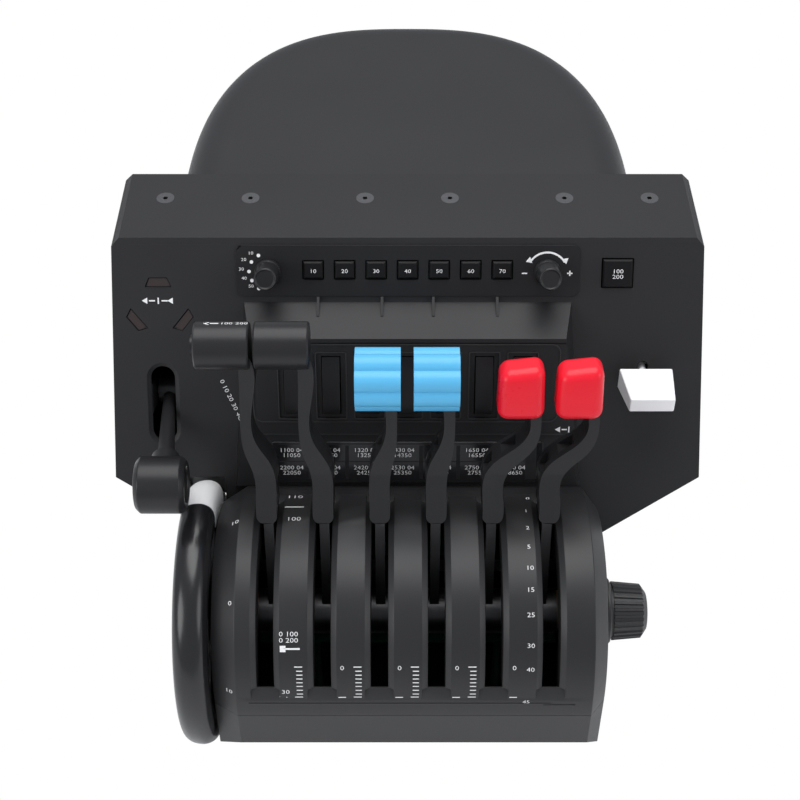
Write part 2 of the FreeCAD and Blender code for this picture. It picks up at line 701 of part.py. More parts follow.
def blade_prism(low):
    """Flat steel bar with cut top corners, from a height up to the top of the blade."""
    half = BLADE_DEPTH / 2
    return side_prism([(-half, low), (half, low), (half, BLADE_TOP - BLADE_BEVEL),
                       (half - BLADE_BEVEL, BLADE_TOP), (-half + BLADE_BEVEL, BLADE_TOP),
                       (-half, BLADE_TOP - BLADE_BEVEL)], -BLADE_THICKNESS / 2, BLADE_THICKNESS / 2)


def lever_blade(x):
    hub = bar(-HUB_LENGTH / 2, HUB_LENGTH / 2, HUB_RADIUS)
    return stand(hub.fuse(blade_prism(0)).cut(bar(-50, 50, SHAFT_RADIUS + RUNNING_FIT)), x)


def sweep_share(r):
    """Share of the sideways sweep that is done at a radius, eased at both ends."""
    t = max(0.0, min(1.0, (r - BEND[0]) / (BEND[1] - BEND[0])))
    return t * t * (3 - 2 * t)


def stem(offset, top):
    """S-bent moulding: front outline swept fore and aft, with a deeper foot in side view."""
    low, high = BEND
    radii = [HANDLE_FOOT + 4, 82, low, low + 7, (low + high) / 2, high - 7, high, high + 10, top]
    left, right = [], []
    for r in radii:
        t = sweep_share(r)
        bulge = 0.11 * abs(offset) * math.sin(math.pi * t)
        half = (HANDLE_WIDTH * (1 - t) + HANDLE_NECK * t) / 2 + bulge
        left.append(V(offset * t - half, 0, r))
        right.append(V(offset * t + half, 0, r))
    a, b = Part.BSplineCurve(), Part.BSplineCurve()
    a.interpolate(left)
    b.interpolate(right)
    foot = Part.Arc(left[0], V(0, 0, HANDLE_FOOT), right[0]).toShape()
    wire = Part.Wire([a.toShape(), Part.makeLine(left[-1], right[-1]), b.toShape(), foot])
    slab = Part.Face(wire)
    slab.translate(V(0, -30, 0))
    slab = slab.extrude(V(0, 60, 0))
    d = HANDLE_DEPTH / 2
    neck = HANDLE_DEPTH * 0.34
    foot = HANDLE_FOOT
    side = side_prism([(-FOOT_FRONT + 2, foot - 2), (d - 2, foot - 2), (d, foot + 6), (d, low),
                       (neck, high + 14), (neck, top + 1), (-neck, top + 1), (-neck, high + 14),
                       (-d, low + 4), (-FOOT_FRONT, foot + 1)], -60, 60)
    return slab.common(side)


def pockets(offset):
    """Shallow recesses between ribs on the outer side of the bend."""
    tools = []
    low, high = BEND
    step = (high + 8 - low) / 3
    side = -1 if offset > 0 else 1
    for i in range(3):
        r0 = low + 2 + i * step
        r1 = r0 + step - 2.4
        x = offset * sweep_share((r0 + r1) / 2) + side * (HANDLE_NECK / 2 + 0.6)
        tools.append(Part.makeBox(12, 8, r1 - r0, V(x - 12 if side < 0 else x, -3.5, r0)))
    return tools


def throttle_handle(x, with_button):
    neck, head = THROTTLE_OFFSET
    length, radius = THROTTLE_HEAD
    body = stem(neck, HEAD_RADIUS_AT - 2)
    a = head - length / 2
    grip = turned([(a, 0), (a, radius - 0.8), (a + 0.8, radius), (a + length - 0.8, radius),
                   (a + length, radius - 0.8), (a + length, 0)])
    grip.translate(V(0, 0, HEAD_RADIUS_AT))
    body = body.fuse(grip).cut(blade_prism(HANDLE_FOOT - 8))
    if with_button:
        pocket = bar(a - 1, a + GO_DEPTH, GO_RADIUS + 0.3, 0, HEAD_RADIUS_AT)
        body = body.cut(pocket)
    return stand(body, x)


GO_RADIUS = 5.0
GO_DEPTH = 8.0
GO_TRAVEL = 1.2
GO_PROUD = 1.8


def go_around_button(x):
    a = THROTTLE_OFFSET[1] - THROTTLE_HEAD[0] / 2
    body = bar(a - GO_PROUD, a + GO_DEPTH - GO_TRAVEL - 0.4, GO_RADIUS, 0, HEAD_RADIUS_AT)
    return stand(body, x)


def plain_handle(x, offsets, grip_at):
    body = stem(offsets[0], grip_at + 6)
    for tool in pockets(offsets[0]):
        body = body.cut(tool)
    return stand(body.cut(blade_prism(HANDLE_FOOT - 8)), x)


def prop_grip(x):
    """Roller grip with rounded lobes and sharp flutes along its length."""
    length, crest, flute = PROP_GRIP
    step = 360.0 / PROP_LOBES
    a = PROP_OFFSET[1] - length / 2

    def rim(r, degrees):
        t = math.radians(180 - PROP_PHASE - degrees)
        return V(a, r * math.cos(t), r * math.sin(t) + PROP_RADIUS_AT)

    edges = []
    for i in range(PROP_LOBES):
        edges.append(Part.Arc(rim(flute, i * step), rim(crest, (i + 0.5) * step),
                              rim(flute, (i + 1) * step)).toShape())
    block = Part.Face(Part.Wire(edges)).extrude(V(length, 0, 0))
    return grip_on(block, x, PROP_OFFSET, PROP_RADIUS_AT)


def soft_outline(points, radius, place):
    """Closed wire through 2-D points with rounded corners; place() maps a point to space."""
    count = len(points)
    ends = []
    for i in range(count):
        ax, ay = points[i - 1]
        bx, by = points[i]
        cx, cy = points[(i + 1) % count]
        la, lc = math.hypot(ax - bx, ay - by), math.hypot(cx - bx, cy - by)
        ua, uc = ((ax - bx) / la, (ay - by) / la), ((cx - bx) / lc, (cy - by) / lc)
        half = math.acos(max(-1.0, min(1.0, ua[0] * uc[0] + ua[1] * uc[1]))) / 2
        run = radius / math.tan(half)
        dip = radius / math.sin(half) - radius
        mx, my = ua[0] + uc[0], ua[1] + uc[1]
        lm = math.hypot(mx, my)
        ends.append(((bx + ua[0] * run, by + ua[1] * run), (bx + mx / lm * dip, by + my / lm * dip),
                     (bx + uc[0] * run, by + uc[1] * run)))
    edges = []
    for i, (start, mid, end) in enumerate(ends):
        edges.append(Part.Arc(place(*start), place(*mid), place(*end)).toShape())
        after = ends[(i + 1) % count][0]
        edges.append(Part.makeLine(place(*end), place(*after)))
    return Part.Wire(edges)


def mixture_grip(x):
    """Rounded mushroom grip: sloping top, flat front and a tucked-in foot."""
    across, deep, tall = MIXTURE_GRIP
    d, h, w = deep / 2, tall / 2, across / 2
    side = [(-d + 4, -h), (d - 4, -h), (d, -h + 6), (d, h - 8), (d - 6, h), (-d + 7, h),
            (-d, h - 9), (-d, -h + 6)]
    front = [(-w + 1.5, -h), (w - 1.5, -h), (w, -h + 9), (w, h - 7), (w - 8, h), (-w, h - 4),
             (-w, -h + 9)]
    wide = Part.Face(soft_outline(side, GRIP_ROUND, lambda y, z: V(-w, y, z)))
    tube = Part.Face(soft_outline(front, GRIP_ROUND, lambda a, z: V(a, -d - 1, z)))
    block = wide.extrude(V(across, 0, 0)).common(tube.extrude(V(0, deep + 2, 0)))
    block = block.makeFillet(GRIP_EDGE, block.Edges)
    block.translate(V(MIXTURE_OFFSET[1], 0, MIXTURE_RADIUS_AT))
    return grip_on(block, x, MIXTURE_OFFSET, MIXTURE_RADIUS_AT)


def grip_on(block, x, offsets, at):
    """Cut the stem's place out of a grip and stand it on its lever."""
    return stand(block.cut(stem(offsets[0], at + 6)), x)


# ---------------------------------------------------------------- trim wheel and knob
def trim_wheel():
    r = WHEEL_RADIUS
    a, b = WHEEL_X0, WHEEL_X1
    mid = (a + b) / 2
    inner = r - WHEEL_RIM
    rim = [(a + 4, r - 1.6), (a + 8, r), (b - 6, r), (b - 1.6, r - 3), (b, r - 7), (b - 1, inner),
           (mid + 2.5, inner - 3), (mid + 2.5, 16), (b, 14), (b, 0), (a + 3, 0), (a + 3, 14),
           (mid - 1.5, 16), (mid - 1.5, inner - 3), (a + 1.5, inner), (a, r - 8), (a + 1.4, r - 4)]
    wheel = turned(rim)
    for i in range(6):
        hole = bar(a - 1, b + 1, 11, 34 * math.cos(math.radians(60 * i + 30)),
                   34 * math.sin(math.radians(60 * i + 30)))
        wheel = wheel.cut(hole)
    wheel = wheel.cut(bar(a - 1, b + 1, SHAFT_RADIUS + RUNNING_FIT))
    return wheel.cut(wheel_mark_solid())


MARK_CENTRE = 60.0
MARK_DEPTH = 1.0


def wheel_mark_solid():
    """White band let into the rim, flush with it."""
    r = WHEEL_RADIUS
    a, b = WHEEL_X0, WHEEL_X1
    k = MARK_DEPTH
    outer = [(a + 4, r - 1.6), (a + 8, r), (b - 6, r), (b - 1.6, r - 3), (b, r - 7)]
    inner = [(b - k, r - 7 - k * 0.2), (b - 1.6 - k * 0.8, r - 3 - k * 0.7), (b - 6 - k * 0.3, r - k),
             (a + 8 + k * 0.3, r - k), (a + 4 + k * 0.5, r - 1.6 - k * 0.9),
             (a + 1.4 + k * 0.8, r - 4 - k * 0.6), (a + k, r - 8)]
    return turned(outer + inner + [(a, r - 8), (a + 1.4, r - 4)], MARK_CENTRE - WHEEL_MARK_ARC / 2,
                  WHEEL_MARK_ARC)


def rib_wire(x, scale):
    """Outline of the knob's ribs in the plane at x."""
    points = []
    for i in range(KNOB_RIBS):
        for share, r in ((0.0, KNOB_RADIUS), (0.3, KNOB_RADIUS), (0.42, KNOB_RADIUS - KNOB_RIB_DEPTH),
                         (0.88, KNOB_RADIUS - KNOB_RIB_DEPTH)):
            t = 2 * math.pi * (i + share) / KNOB_RIBS
            points.append(V(x, r * scale * math.cos(t), r * scale * math.sin(t)))
    return Part.makePolygon(points + [points[0]])


def tension_knob():
    """Collar, flange, groove and a ribbed barrel that tapers to a bevelled end."""
    x1 = KNOB_X1
    x2 = x1 + KNOB_LENGTH
    far = KNOB_RADIUS * KNOB_TAPER
    barrel = Part.makeLoft([rib_wire(x1, 1.0), rib_wire(x2, KNOB_TAPER)], True, True)
    bevel = turned([(x1, 0), (x1, KNOB_RADIUS + 1), (x2 - 3, KNOB_RADIUS + 1), (x2 - 3, far + 0.3),
                    (x2, far - 4), (x2, 0)])
    barrel = barrel.common(bevel)
    collar_r, collar_w = KNOB_COLLAR
    flange_r, flange_w = KNOB_FLANGE
    a = KNOB_X0 + collar_w
    b = a + flange_w
    root = turned([(KNOB_X0, 0), (KNOB_X0, collar_r), (a, collar_r), (a, flange_r - 0.5),
                   (a + 0.5, flange_r), (b - 0.8, flange_r), (b, flange_r - 0.8), (b, KNOB_NECK[0]),
                   (x1 + 0.2, KNOB_NECK[0]), (x1 + 0.2, 0)])
    body = barrel.fuse(root)
    return body.cut(bar(KNOB_X0 - 1, SHAFT_RIGHT + 0.5, SHAFT_RADIUS + RUNNING_FIT))


# ---------------------------------------------------------------- switch console
FALL = math.radians(LEDGE_FALL)
LEDGE_BACK = on_panel(0, CONSOLE_TOP)
LEDGE_FRONT = LEDGE_BACK + V(0, -math.cos(FALL), -math.sin(FALL)) * LEDGE_DEPTH
FACE_END = on_panel(0, CONSOLE_LOW, CONSOLE_RAISE)
FACE_DOWN = (FACE_END - LEDGE_FRONT).normalize()
FACE_OUT = V(0, FACE_DOWN.z, -FACE_DOWN.y)


def on_face(x, d, out=0.0):
    """Point on the switch face: x across, d down from the ledge, out to the pilot."""
    return LEDGE_FRONT + V(x, 0, 0) + FACE_DOWN * d + FACE_OUT * out


def face_prism(points, out0, out1):
    return face([on_face(x, d, out0) for x, d in points]).extrude(FACE_OUT * (out1 - out0))


ROCKER_X = [ROCKER_PITCH * (i - (ROCKER_COUNT - 1) / 2) for i in range(ROCKER_COUNT)]
CONSOLE_WALL = 2.4


def console_flanks(inset):
    """Block whose sides spread down the panel and lean in away from it."""
    wires = []
    for out in (-50, 50):
        outline = []
        for s, side in ((0, -1), (0, 1), (CONSOLE_END, 1), (CONSOLE_END, -1)):
            half = CONSOLE_ROOT + CONSOLE_SPREAD * (s - CONSOLE_TOP) - CONSOLE_FLARE * out - inset
            outline.append((side * half, s))
        wires.append(wire_on_panel(outline, out))
    return Part.makeLoft(wires, True, True)


def console_outside():
    """Ledge, switch face and a raised skirt that runs down behind the lever housing."""
    points = [LEDGE_BACK, LEDGE_FRONT, FACE_END, on_panel(0, CONSOLE_END, CONSOLE_RAISE),
              on_panel(0, CONSOLE_END)]
    block = side_prism([(p.y, p.z) for p in points], -200, 200).common(console_flanks(0))
    return block.cut(bar(-200, 200, COVER_RADIUS + SEAM_GAP))


def console_hollow():
    """Room behind the ledge and the switch face, open to the panel."""
    k = CONSOLE_WALL
    points = [LEDGE_BACK - V(0, 0, k), LEDGE_FRONT + V(0, k, -k), FACE_END + V(0, k, k * 2),
              FACE_END + V(0, 40, k * 2), LEDGE_BACK + V(0, 40, -k)]
    return side_prism([(p.y, p.z) for p in points], -200, 200).common(console_flanks(k))


def switch_console():
    body = console_outside().cut(console_hollow())
    for x in (-46.8, -13.4, 13.4, 46.8):
        gusset = side_prism([(LEDGE_BACK.y, LEDGE_BACK.z - 1), (LEDGE_BACK.y, LEDGE_BACK.z + 3.5),
                             (LEDGE_BACK.y - 9, LEDGE_BACK.z - 2.0)], x - 0.7, x + 0.7)
        body = body.fuse(gusset.common(front_of_panel()))
    wide, tall = ROCKER_RECESS
    w, h = ROCKER_SIZE
    for x in ROCKER_X:
        lo, hi = ROCKER_CENTRE - tall / 2, ROCKER_CENTRE + tall / 2
        body = body.cut(face_prism(rect(x - wide / 2, x + wide / 2, lo, hi), -0.8, 3))
        gw, gh = w / 2 + ROCKER_GAP, h / 2 + 0.9
        body = body.cut(face_prism(rect(x - gw, x + gw, ROCKER_CENTRE - gh, ROCKER_CENTRE + gh), -9, 3))
    body = body.cut(face_prism(rect(-200, 200, 2.2, 3.0), -0.6, 2))
    seat = panel_rounded(-LENS_HALF - LENS_GAP, LENS_HALF + LENS_GAP, LENS_TOP - LENS_GAP,
                         LENS_LOW + LENS_GAP, 1.5, CONSOLE_RAISE - LENS_SEAT, CONSOLE_RAISE + 8)
    return body.cut(seat)


def front_of_panel():
    return side_prism([(panel_y(200), 200), (panel_y(20), 20), (-100, 20), (-100, 200)], -200, 200)


def rocker(x):
    """Flat paddle with a sloping face at each end, at rest with its lower end in."""
    w, h = ROCKER_SIZE
    half = h / 2
    profile = [(-half, -6), (-half, 0.4), (-half + 7.5, 2.4), (half - 7.5, 2.4), (half, 0.4), (half, -6)]
    turn = math.radians(ROCKER_TILT)
    points = []
    for d, n in profile:
        n += 2
        dd = d * math.cos(turn) - n * math.sin(turn)
        nn = d * math.sin(turn) + n * math.cos(turn) - 2
        points.append(on_face(x - w / 2, ROCKER_CENTRE + dd, nn))
    return face(points).extrude(V(w, 0, 0))


def annunciator_lens():
    low = CONSOLE_RAISE - LENS_SEAT
    return panel_rounded(-LENS_HALF, LENS_HALF, LENS_TOP, LENS_LOW, 1.2, low, low + LENS_THICKNESS)


# ---------------------------------------------------------------- autopilot strip
def button_places():
    return [BUTTON_PITCH * (i - (BUTTON_COUNT - 1) / 2) for i in range(BUTTON_COUNT)]


def button_hole(x, s, size, out):
    w, h = size[0] / 2 + BUTTON_GAP, size[1] / 2 + BUTTON_GAP
    return panel_prism(rect(x - w, x + w, s - h, s + h), *out)


def autopilot_bezel():
    body = panel_rounded(-STRIP_HALF, STRIP_HALF, STRIP_TOP, STRIP_LOW, STRIP_CORNER, 0, STRIP_PROUD)
    for x in button_places():
        body = body.cut(button_hole(x, BUTTON_ROW, BUTTON_SIZE, (-1, 5)))
    for x in (-SELECTOR_X, SELECTOR_X):
        body = body.cut(peg(x, SELECTOR_ROW, 3.3, -1, 5))
    return body


def peg(x, s, r, out0, out1):
    return Part.makeCylinder(r, out1 - out0, on_panel(x, s, out0), OUT)


def button(x, s, size, proud):
    """Push button cap with bevelled top edges."""
    w, h = size[0] / 2, size[1] / 2
    k = 0.9
    top = Part.makeLoft([wire_on_panel(rect(x - w, x + w, s - h, s + h), proud - k),
                         wire_on_panel(rect(x - w + k, x + w - k, s - h + k, s + h - k), proud)], True)
    low = panel_prism(rect(x - w, x + w, s - h, s + h), -BUTTON_DEPTH, proud - k)
    return low.fuse(top).removeSplitter()


def wire_on_panel(points, out):
    pts = [on_panel(x, s, out) for x, s in points]
    return Part.makePolygon(pts + [pts[0]])


def panel_knob(x):
    """Turned knob: skirt, slightly tapered barrel, dished front, stem through the strip."""
    base = STRIP_PROUD + 0.3
    r, length = SELECTOR_RADIUS, SELECTOR_LENGTH
    profile = [(0, -8), (2.9, -8), (2.9, base), (r, base), (r, base + 3), (r - 0.8, base + 4.2),
               (r - 1.1, length - 0.8), (r - 1.8, length), (r - 2.6, length - 0.8), (0, length - 0.8)]
    points = [V(a, 0, b) for a, b in profile]
    solid = face(points).revolve(V(0, 0, 0), V(0, 0, 1), 360)
    solid.rotate(V(0, 0, 0), V(1, 0, 0), 90 - PANEL_LEAN)
    solid.translate(on_panel(x, SELECTOR_ROW))
    return solid


def gear_light_lenses():
    low = -GEAR_LIGHT_DEPTH
    return Part.Compound([panel_prism(points, low, low + 0.5) for points in gear_lights(0.15)])


# ---------------------------------------------------------------- gear and flap levers
GEAR_PIVOT = on_panel(GEAR_X, GEAR_ROW, -GEAR_PIVOT_DEPTH)
FLAP_PIVOT = on_panel(FLAP_X, FLAP_ROW, -FLAP_PIVOT_DEPTH)
PIN_RADIUS = 2.5
EAR = 2.5


def out_and_down(piece, pivot, dip=0.0):
    """Place a piece drawn along -Y from the origin: out of the panel, dipped below its normal."""
    piece = piece.copy()
    piece.rotate(V(0, 0, 0), V(1, 0, 0), -PANEL_LEAN + dip)
    piece.translate(pivot)
    return piece


def gear_lever():
    """Hub on its pin, tapered arm that leans to the wheel and a collar below the knob."""
    hub = bar(-5, 5, 7)
    along = V(GEAR_LEAN, -GEAR_LENGTH, 0)
    arm = Part.makeCone(GEAR_ARM[0], GEAR_ARM[1], GEAR_LENGTH - 4, V(0, 0, 0), along)
    radius, length = GEAR_COLLAR
    place = along * (1 - (GEAR_KNOB[1] + length) / GEAR_LENGTH)
    collar = Part.makeCone(GEAR_ARM[1] + 0.6, radius, 1.6, place, along)
    collar = collar.fuse(Part.makeCylinder(radius, length + 4, place + along * (1.6 / GEAR_LENGTH), along))
    body = hub.fuse(arm).fuse(collar).cut(gear_knob_solid())
    body = body.fuse(bar(-9, 9, PIN_RADIUS))
    return out_and_down(max(body.Solids, key=lambda piece: piece.Volume), GEAR_PIVOT, GEAR_DIP)


def gear_knob_solid():
    length, r = GEAR_KNOB
    h = length / 2
    wheel = turned([(-h, 0), (-h, r - 2.4), (-h + 2.4, r), (h - 2.4, r), (h, r - 2.4),
                    (h, r - 5), (h - 1.6, r - 6), (h - 1.6, 0)])
    wheel.translate(V(GEAR_KNOB_X, -GEAR_LENGTH, 0))
    return wheel


def gear_knob():
    return out_and_down(gear_knob_solid(), GEAR_PIVOT, GEAR_DIP)


def ears(pivot, half_gap):
    """Pair of bearing ears behind the panel for a short pin at pivot."""
    solids = []
    for side in (-1, 1):
        x0 = side * half_gap if side > 0 else -half_gap - EAR
        d = -(pivot - on_panel(pivot.x, 0)).dot(OUT)
        ear = side_prism([(-d + WALL, -8), (-d + WALL, 8), (3, 6), (6, 3), (6, -3), (3, -6)],
                         x0, x0 + EAR)
        ear = ear.cut(bar(-50, 50, PIN_RADIUS + RUNNING_FIT))
        solids.append(out_and_down(ear, pivot))
    return solids


def lever_brackets():
    return Part.Compound(ears(GEAR_PIVOT, 6.2) + ears(FLAP_PIVOT, 4.2))


def flap_lever():
    """White wedge paddle, level at rest, on a thin arm; one side slants in to the tip."""
    wide, deep = FLAP_SIZE
    root = -FLAP_REACH
    tip = root - deep
    hub = bar(-3.6, 3.6, 5).fuse(bar(-6.6, 6.6, PIN_RADIUS))
    arm = Part.makeCylinder(FLAP_ARM, FLAP_REACH + 2, V(0, 0, 0), V(0, -1, 0))
    wedge = side_prism([(root, FLAP_TOP[0]), (tip, FLAP_TOP[1]), (tip, FLAP_UNDER[1]),
                        (root, FLAP_UNDER[0])], -wide, wide)
    plan = plan_prism([(-wide / 2, root), (wide / 2, root), (FLAP_TIP[1], tip), (-FLAP_TIP[0], tip)],
                      -50, 50)
    wedge = wedge.common(plan)
    wedge = wedge.makeFillet(0.8, wedge.Edges)
    return out_and_down(hub.fuse(arm).fuse(wedge), FLAP_PIVOT, PANEL_LEAN)


# ---------------------------------------------------------------- write every piece
PIECES = {
    "base_pan": base_pan, "quadrant_cover": quadrant_cover, "panel_housing": panel_housing,
    "panel_top_cover": panel_top_cover, "housing_screws": housing_screws,
    "rear_shell": rear_shell, "usb_socket": usb_socket, "rubber_feet": rubber_feet,
    "pivot_shaft": pivot_shaft, "lever_frame": lever_frame, "friction_washers": friction_washers,
    "hub_spacers": hub_spacers, "disc_springs": disc_springs, "lever_sensors": lever_sensors,
    "circuit_boards": circuit_boards, "switch_console": switch_console,
    "annunciator_lens": annunciator_lens, "autopilot_bezel": autopilot_bezel,
    "gear_light_lenses": gear_light_lenses, "lever_brackets": lever_brackets,
    "trim_wheel": trim_wheel, "trim_wheel_mark": wheel_mark_solid, "tension_knob": tension_knob,
    "gear_lever": gear_lever, "gear_knob": gear_knob, "flap_lever": flap_lever,
}
for node, make in PIECES.items():
    save(make(), node)

LEVERS = ("throttle_1", "throttle_2", "propeller_1", "propeller_2", "mixture_1", "mixture_2")
for i, node in enumerate(LEVERS):
    x = LEVER_X[i]
    save(lever_blade(x), node + "_blade")
    if i < 2:
        save(throttle_handle(x, i == 0), node + "_handle")
    elif i < 4:
        save(plain_handle(x, PROP_OFFSET, PROP_RADIUS_AT), node + "_handle")
        save(prop_grip(x), node + "_grip")
    else:
        save(plain_handle(x, MIXTURE_OFFSET, MIXTURE_RADIUS_AT), node + "_handle")
        save(mixture_grip(x), node + "_grip")
save(go_around_button(LEVER_X[0]), "go_around_button")
for i, x in enumerate(ROCKER_X):
    save(rocker(x), "rocker_switch_%d" % (i + 1))
for i, x in enumerate(button_places()):
    save(button(x, BUTTON_ROW, BUTTON_SIZE, STRIP_PROUD + BUTTON_PROUD), "mode_button_%d" % (i + 1))
save(button(MASTER_AT[0], MASTER_AT[1], MASTER_SIZE, BUTTON_PROUD + 0.4), "master_button")
save(panel_knob(-SELECTOR_X), "selector_knob")
save(panel_knob(SELECTOR_X), "adjust_knob")
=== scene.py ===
# %% [markdown]
# # Throttle quadrant: the finishes and small forms
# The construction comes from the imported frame: every moulding, lever and button is already
# there at its real size.  This notebook gives those pieces soft moulded edges, their
# finishes, and the printing that a flat solid doesn't carry.

# %% Load the frame
import json
import math

import bpy
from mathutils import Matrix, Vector


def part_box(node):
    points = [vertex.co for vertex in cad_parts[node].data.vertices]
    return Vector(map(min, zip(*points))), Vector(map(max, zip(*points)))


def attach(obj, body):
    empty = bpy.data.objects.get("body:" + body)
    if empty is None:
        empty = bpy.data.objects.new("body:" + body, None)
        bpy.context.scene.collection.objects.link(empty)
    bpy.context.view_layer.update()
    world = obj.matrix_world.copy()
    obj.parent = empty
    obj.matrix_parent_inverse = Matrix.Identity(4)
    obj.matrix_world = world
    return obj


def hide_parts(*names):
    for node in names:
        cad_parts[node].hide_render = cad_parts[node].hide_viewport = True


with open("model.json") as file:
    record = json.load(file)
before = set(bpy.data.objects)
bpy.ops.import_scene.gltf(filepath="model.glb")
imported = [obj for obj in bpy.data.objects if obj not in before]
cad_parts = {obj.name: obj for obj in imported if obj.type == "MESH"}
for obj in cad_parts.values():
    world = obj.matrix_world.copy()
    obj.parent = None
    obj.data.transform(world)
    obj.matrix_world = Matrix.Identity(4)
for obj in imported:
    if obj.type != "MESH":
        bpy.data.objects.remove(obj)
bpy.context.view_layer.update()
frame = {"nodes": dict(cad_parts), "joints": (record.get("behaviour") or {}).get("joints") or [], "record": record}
joints = {joint["name"]: joint for joint in frame["joints"]}
bodies = frame["record"]["behaviour"]["bodies"]
body_of = {node: body for body, nodes in bodies.items() for node in nodes}
MM = 0.001

# %% [markdown]
# ## Places that everything is measured from
# Two places carry the whole layout.  The first is the lever shaft, which the quadrant's
# drum, the levers and the trim wheel are round.  The second is the leaning panel, whose
# direction is the way its push buttons travel.

# %% Shaft and panel
shaft = Vector(joints["throttle_1_swing"]["pos_m"])
panel_out = -Vector(joints["mode_1_press"]["axis"]).normalized()
panel_down = Vector((0, -panel_out.z, panel_out.y))
dial_place = Vector(joints["selector_turn"]["pos_m"])
DIAL_ROW = 18 * MM
lever_x = [sum(c.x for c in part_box(n + "_blade")) / 2
           for n in ("throttle_1", "throttle_2", "propeller_1", "propeller_2",
                     "mixture_1", "mixture_2")]
lever_pitch = lever_x[1] - lever_x[0]
drum_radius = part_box("quadrant_cover")[1].z - shaft.z


def on_panel(x, down, out=0.0):
    """Point on the panel: x across, down the slope from its top edge, out to the pilot."""
    dial_level = Vector((x, dial_place.y, dial_place.z))
    return dial_level + panel_down * (down - DIAL_ROW) + panel_out * out


def on_drum(x, angle, lift=0.0):
    """Point on the lever drum, at an angle in degrees above the rear horizon."""
    turn = math.radians(angle)
    reach = drum_radius + lift
    return Vector((x, shaft.y + reach * math.cos(turn), shaft.z + reach * math.sin(turn)))


print("lever pitch %.1f mm, drum radius %.1f mm" % (lever_pitch / MM, drum_radius / MM))

# %% [markdown]
# ## Shader maths as plain sums
# A finish is easiest to read as a formula, such as `grain * 0.2 + 0.5`.  The small class
# below wraps a node's socket, and every operator on it adds the Math node that does the
# same, with the number on either side.  One method adds any other node.

# %% A socket that can be added and multiplied


class Wire:
    """A node's output that takes part in sums."""

    def __init__(self, paint, socket):
        self.paint = paint
        self.socket = socket

    def maths(self, operation, first, second):
        made = self.paint.add("ShaderNodeMath", {"operation": operation}, [first, second])
        return made[0]

    def __add__(self, other):
        return self.maths("ADD", self, other)

    __radd__ = __add__

    def __mul__(self, other):
        return self.maths("MULTIPLY", self, other)

    __rmul__ = __mul__


class Paint:
    """One finish: a material with its shader, and a method that adds nodes to it."""

    def __init__(self, name, colour, roughness, **sockets):
        self.material = bpy.data.materials.new(name)
        self.material.use_nodes = True
        self.tree = self.material.node_tree
        self.shader = self.tree.nodes["Principled BSDF"]
        self.shader.inputs["Base Color"].default_value = (*colour, 1)
        self.shader.inputs["Roughness"].default_value = roughness
        for socket, value in sockets.items():
            self.shader.inputs[socket.replace("_", " ")].default_value = value
        self.place = self.add("ShaderNodeTexCoord", {}, [])["Object"]

    def add(self, kind, settings, sockets):
        """Add a node: settings first, then its sockets by order or by name."""
        node = self.tree.nodes.new(kind)
        for key, value in settings.items():
            setattr(node, key, value)
        pairs = sockets.items() if isinstance(sockets, dict) else enumerate(sockets)
        for key, value in pairs:
            if isinstance(value, Wire):
                self.tree.links.new(value.socket, node.inputs[key])
            else:
                node.inputs[key].default_value = value
        outputs = {}
        for index, output in enumerate(node.outputs):
            outputs[index] = Wire(self, output)
            outputs[output.name] = outputs[index]
        return outputs

    def feed(self, socket, wire):
        self.tree.links.new(wire.socket, self.shader.inputs[socket])

    def noise(self, scale, detail=2.0, place=None):
        made = self.add("ShaderNodeTexNoise", {},
                        {"Vector": place or self.place, "Scale": scale, "Detail": detail})
        return made[0]

    def mix(self, factor, first, second):
        """Blend two colours by a factor."""
        made = self.add("ShaderNodeMix", {"data_type": "RGBA"},
                        {0: factor, 6: first, 7: second})
        return made[2]

    def bump(self, height, depth):
        made = self.add("ShaderNodeBump", {},
                        {"Height": height, "Distance": depth, "Strength": 1.0})
        self.feed("Normal", made[0])


# %% [markdown]
# ## Finishes
# Black moulded plastic is never one flat black.  A spark-eroded mould leaves a fine grain,
# and the resin's gloss drifts a little over a large face.  Two noises do both: a fine one
# for the bump and a broad one for the roughness and tone.

# %% Moulded plastics


def moulded(name, colour, roughness, grain=2600, depth=0.00003, drift=0.12, **sockets):
    """Plastic with a fine mould grain, and a gloss and tone that drift slowly."""
    paint = Paint(name, colour, roughness, **sockets)
    fine = paint.noise(grain, 3)
    broad = paint.noise(22, 3)
    low = tuple(c * (1 - drift) for c in colour) + (1,)
    high = tuple(min(1, c * (1 + drift)) for c in colour) + (1,)
    paint.feed("Base Color", paint.mix(broad, low, high))
    paint.feed("Roughness", broad * 0.10 + fine * 0.06 + (roughness - 0.08))
    paint.bump(fine, depth)
    return paint.material


DULL = {"Specular_IOR_Level": 0.30}     # textured mouldings reflect less than polished ones
SATIN = {"Specular_IOR_Level": 0.42}
housing_black = moulded("housing_black", (0.016, 0.016, 0.017), 0.50, **DULL)
# the pan's own black; the raised lines on the switch face and the drum's foot also use it as painted highlight
base_black_and_line_highlight = moulded("base_black_and_line_highlight", (0.022, 0.022, 0.023), 0.48)
cover_black = moulded("cover_black", (0.018, 0.018, 0.019), 0.46, **DULL)
console_black = moulded("console_black", (0.014, 0.014, 0.015), 0.46, **DULL)
drum_black = moulded("drum_black", (0.015, 0.015, 0.016), 0.42, grain=2000, depth=0.00001,
                     **SATIN)
handle_black = moulded("handle_black", (0.015, 0.015, 0.016), 0.34, grain=1800, depth=0.00001,
                       **DULL)
wheel_black = moulded("wheel_black", (0.009, 0.009, 0.010), 0.22, grain=400, depth=0.000004)
# the keys' own near-black; the gear lights' rims also use it as painted shade
key_black_and_rim_shade = moulded("key_black_and_rim_shade", (0.0035, 0.0035, 0.004), 0.50, Specular_IOR_Level=0.2)
bezel_black = moulded("bezel_black", (0.011, 0.011, 0.012), 0.50, Specular_IOR_Level=0.24)
rocker_black = moulded("rocker_black", (0.005, 0.005, 0.006), 0.38, **SATIN)
cell_black = moulded("cell_black", (0.016, 0.016, 0.017), 0.45, **DULL)
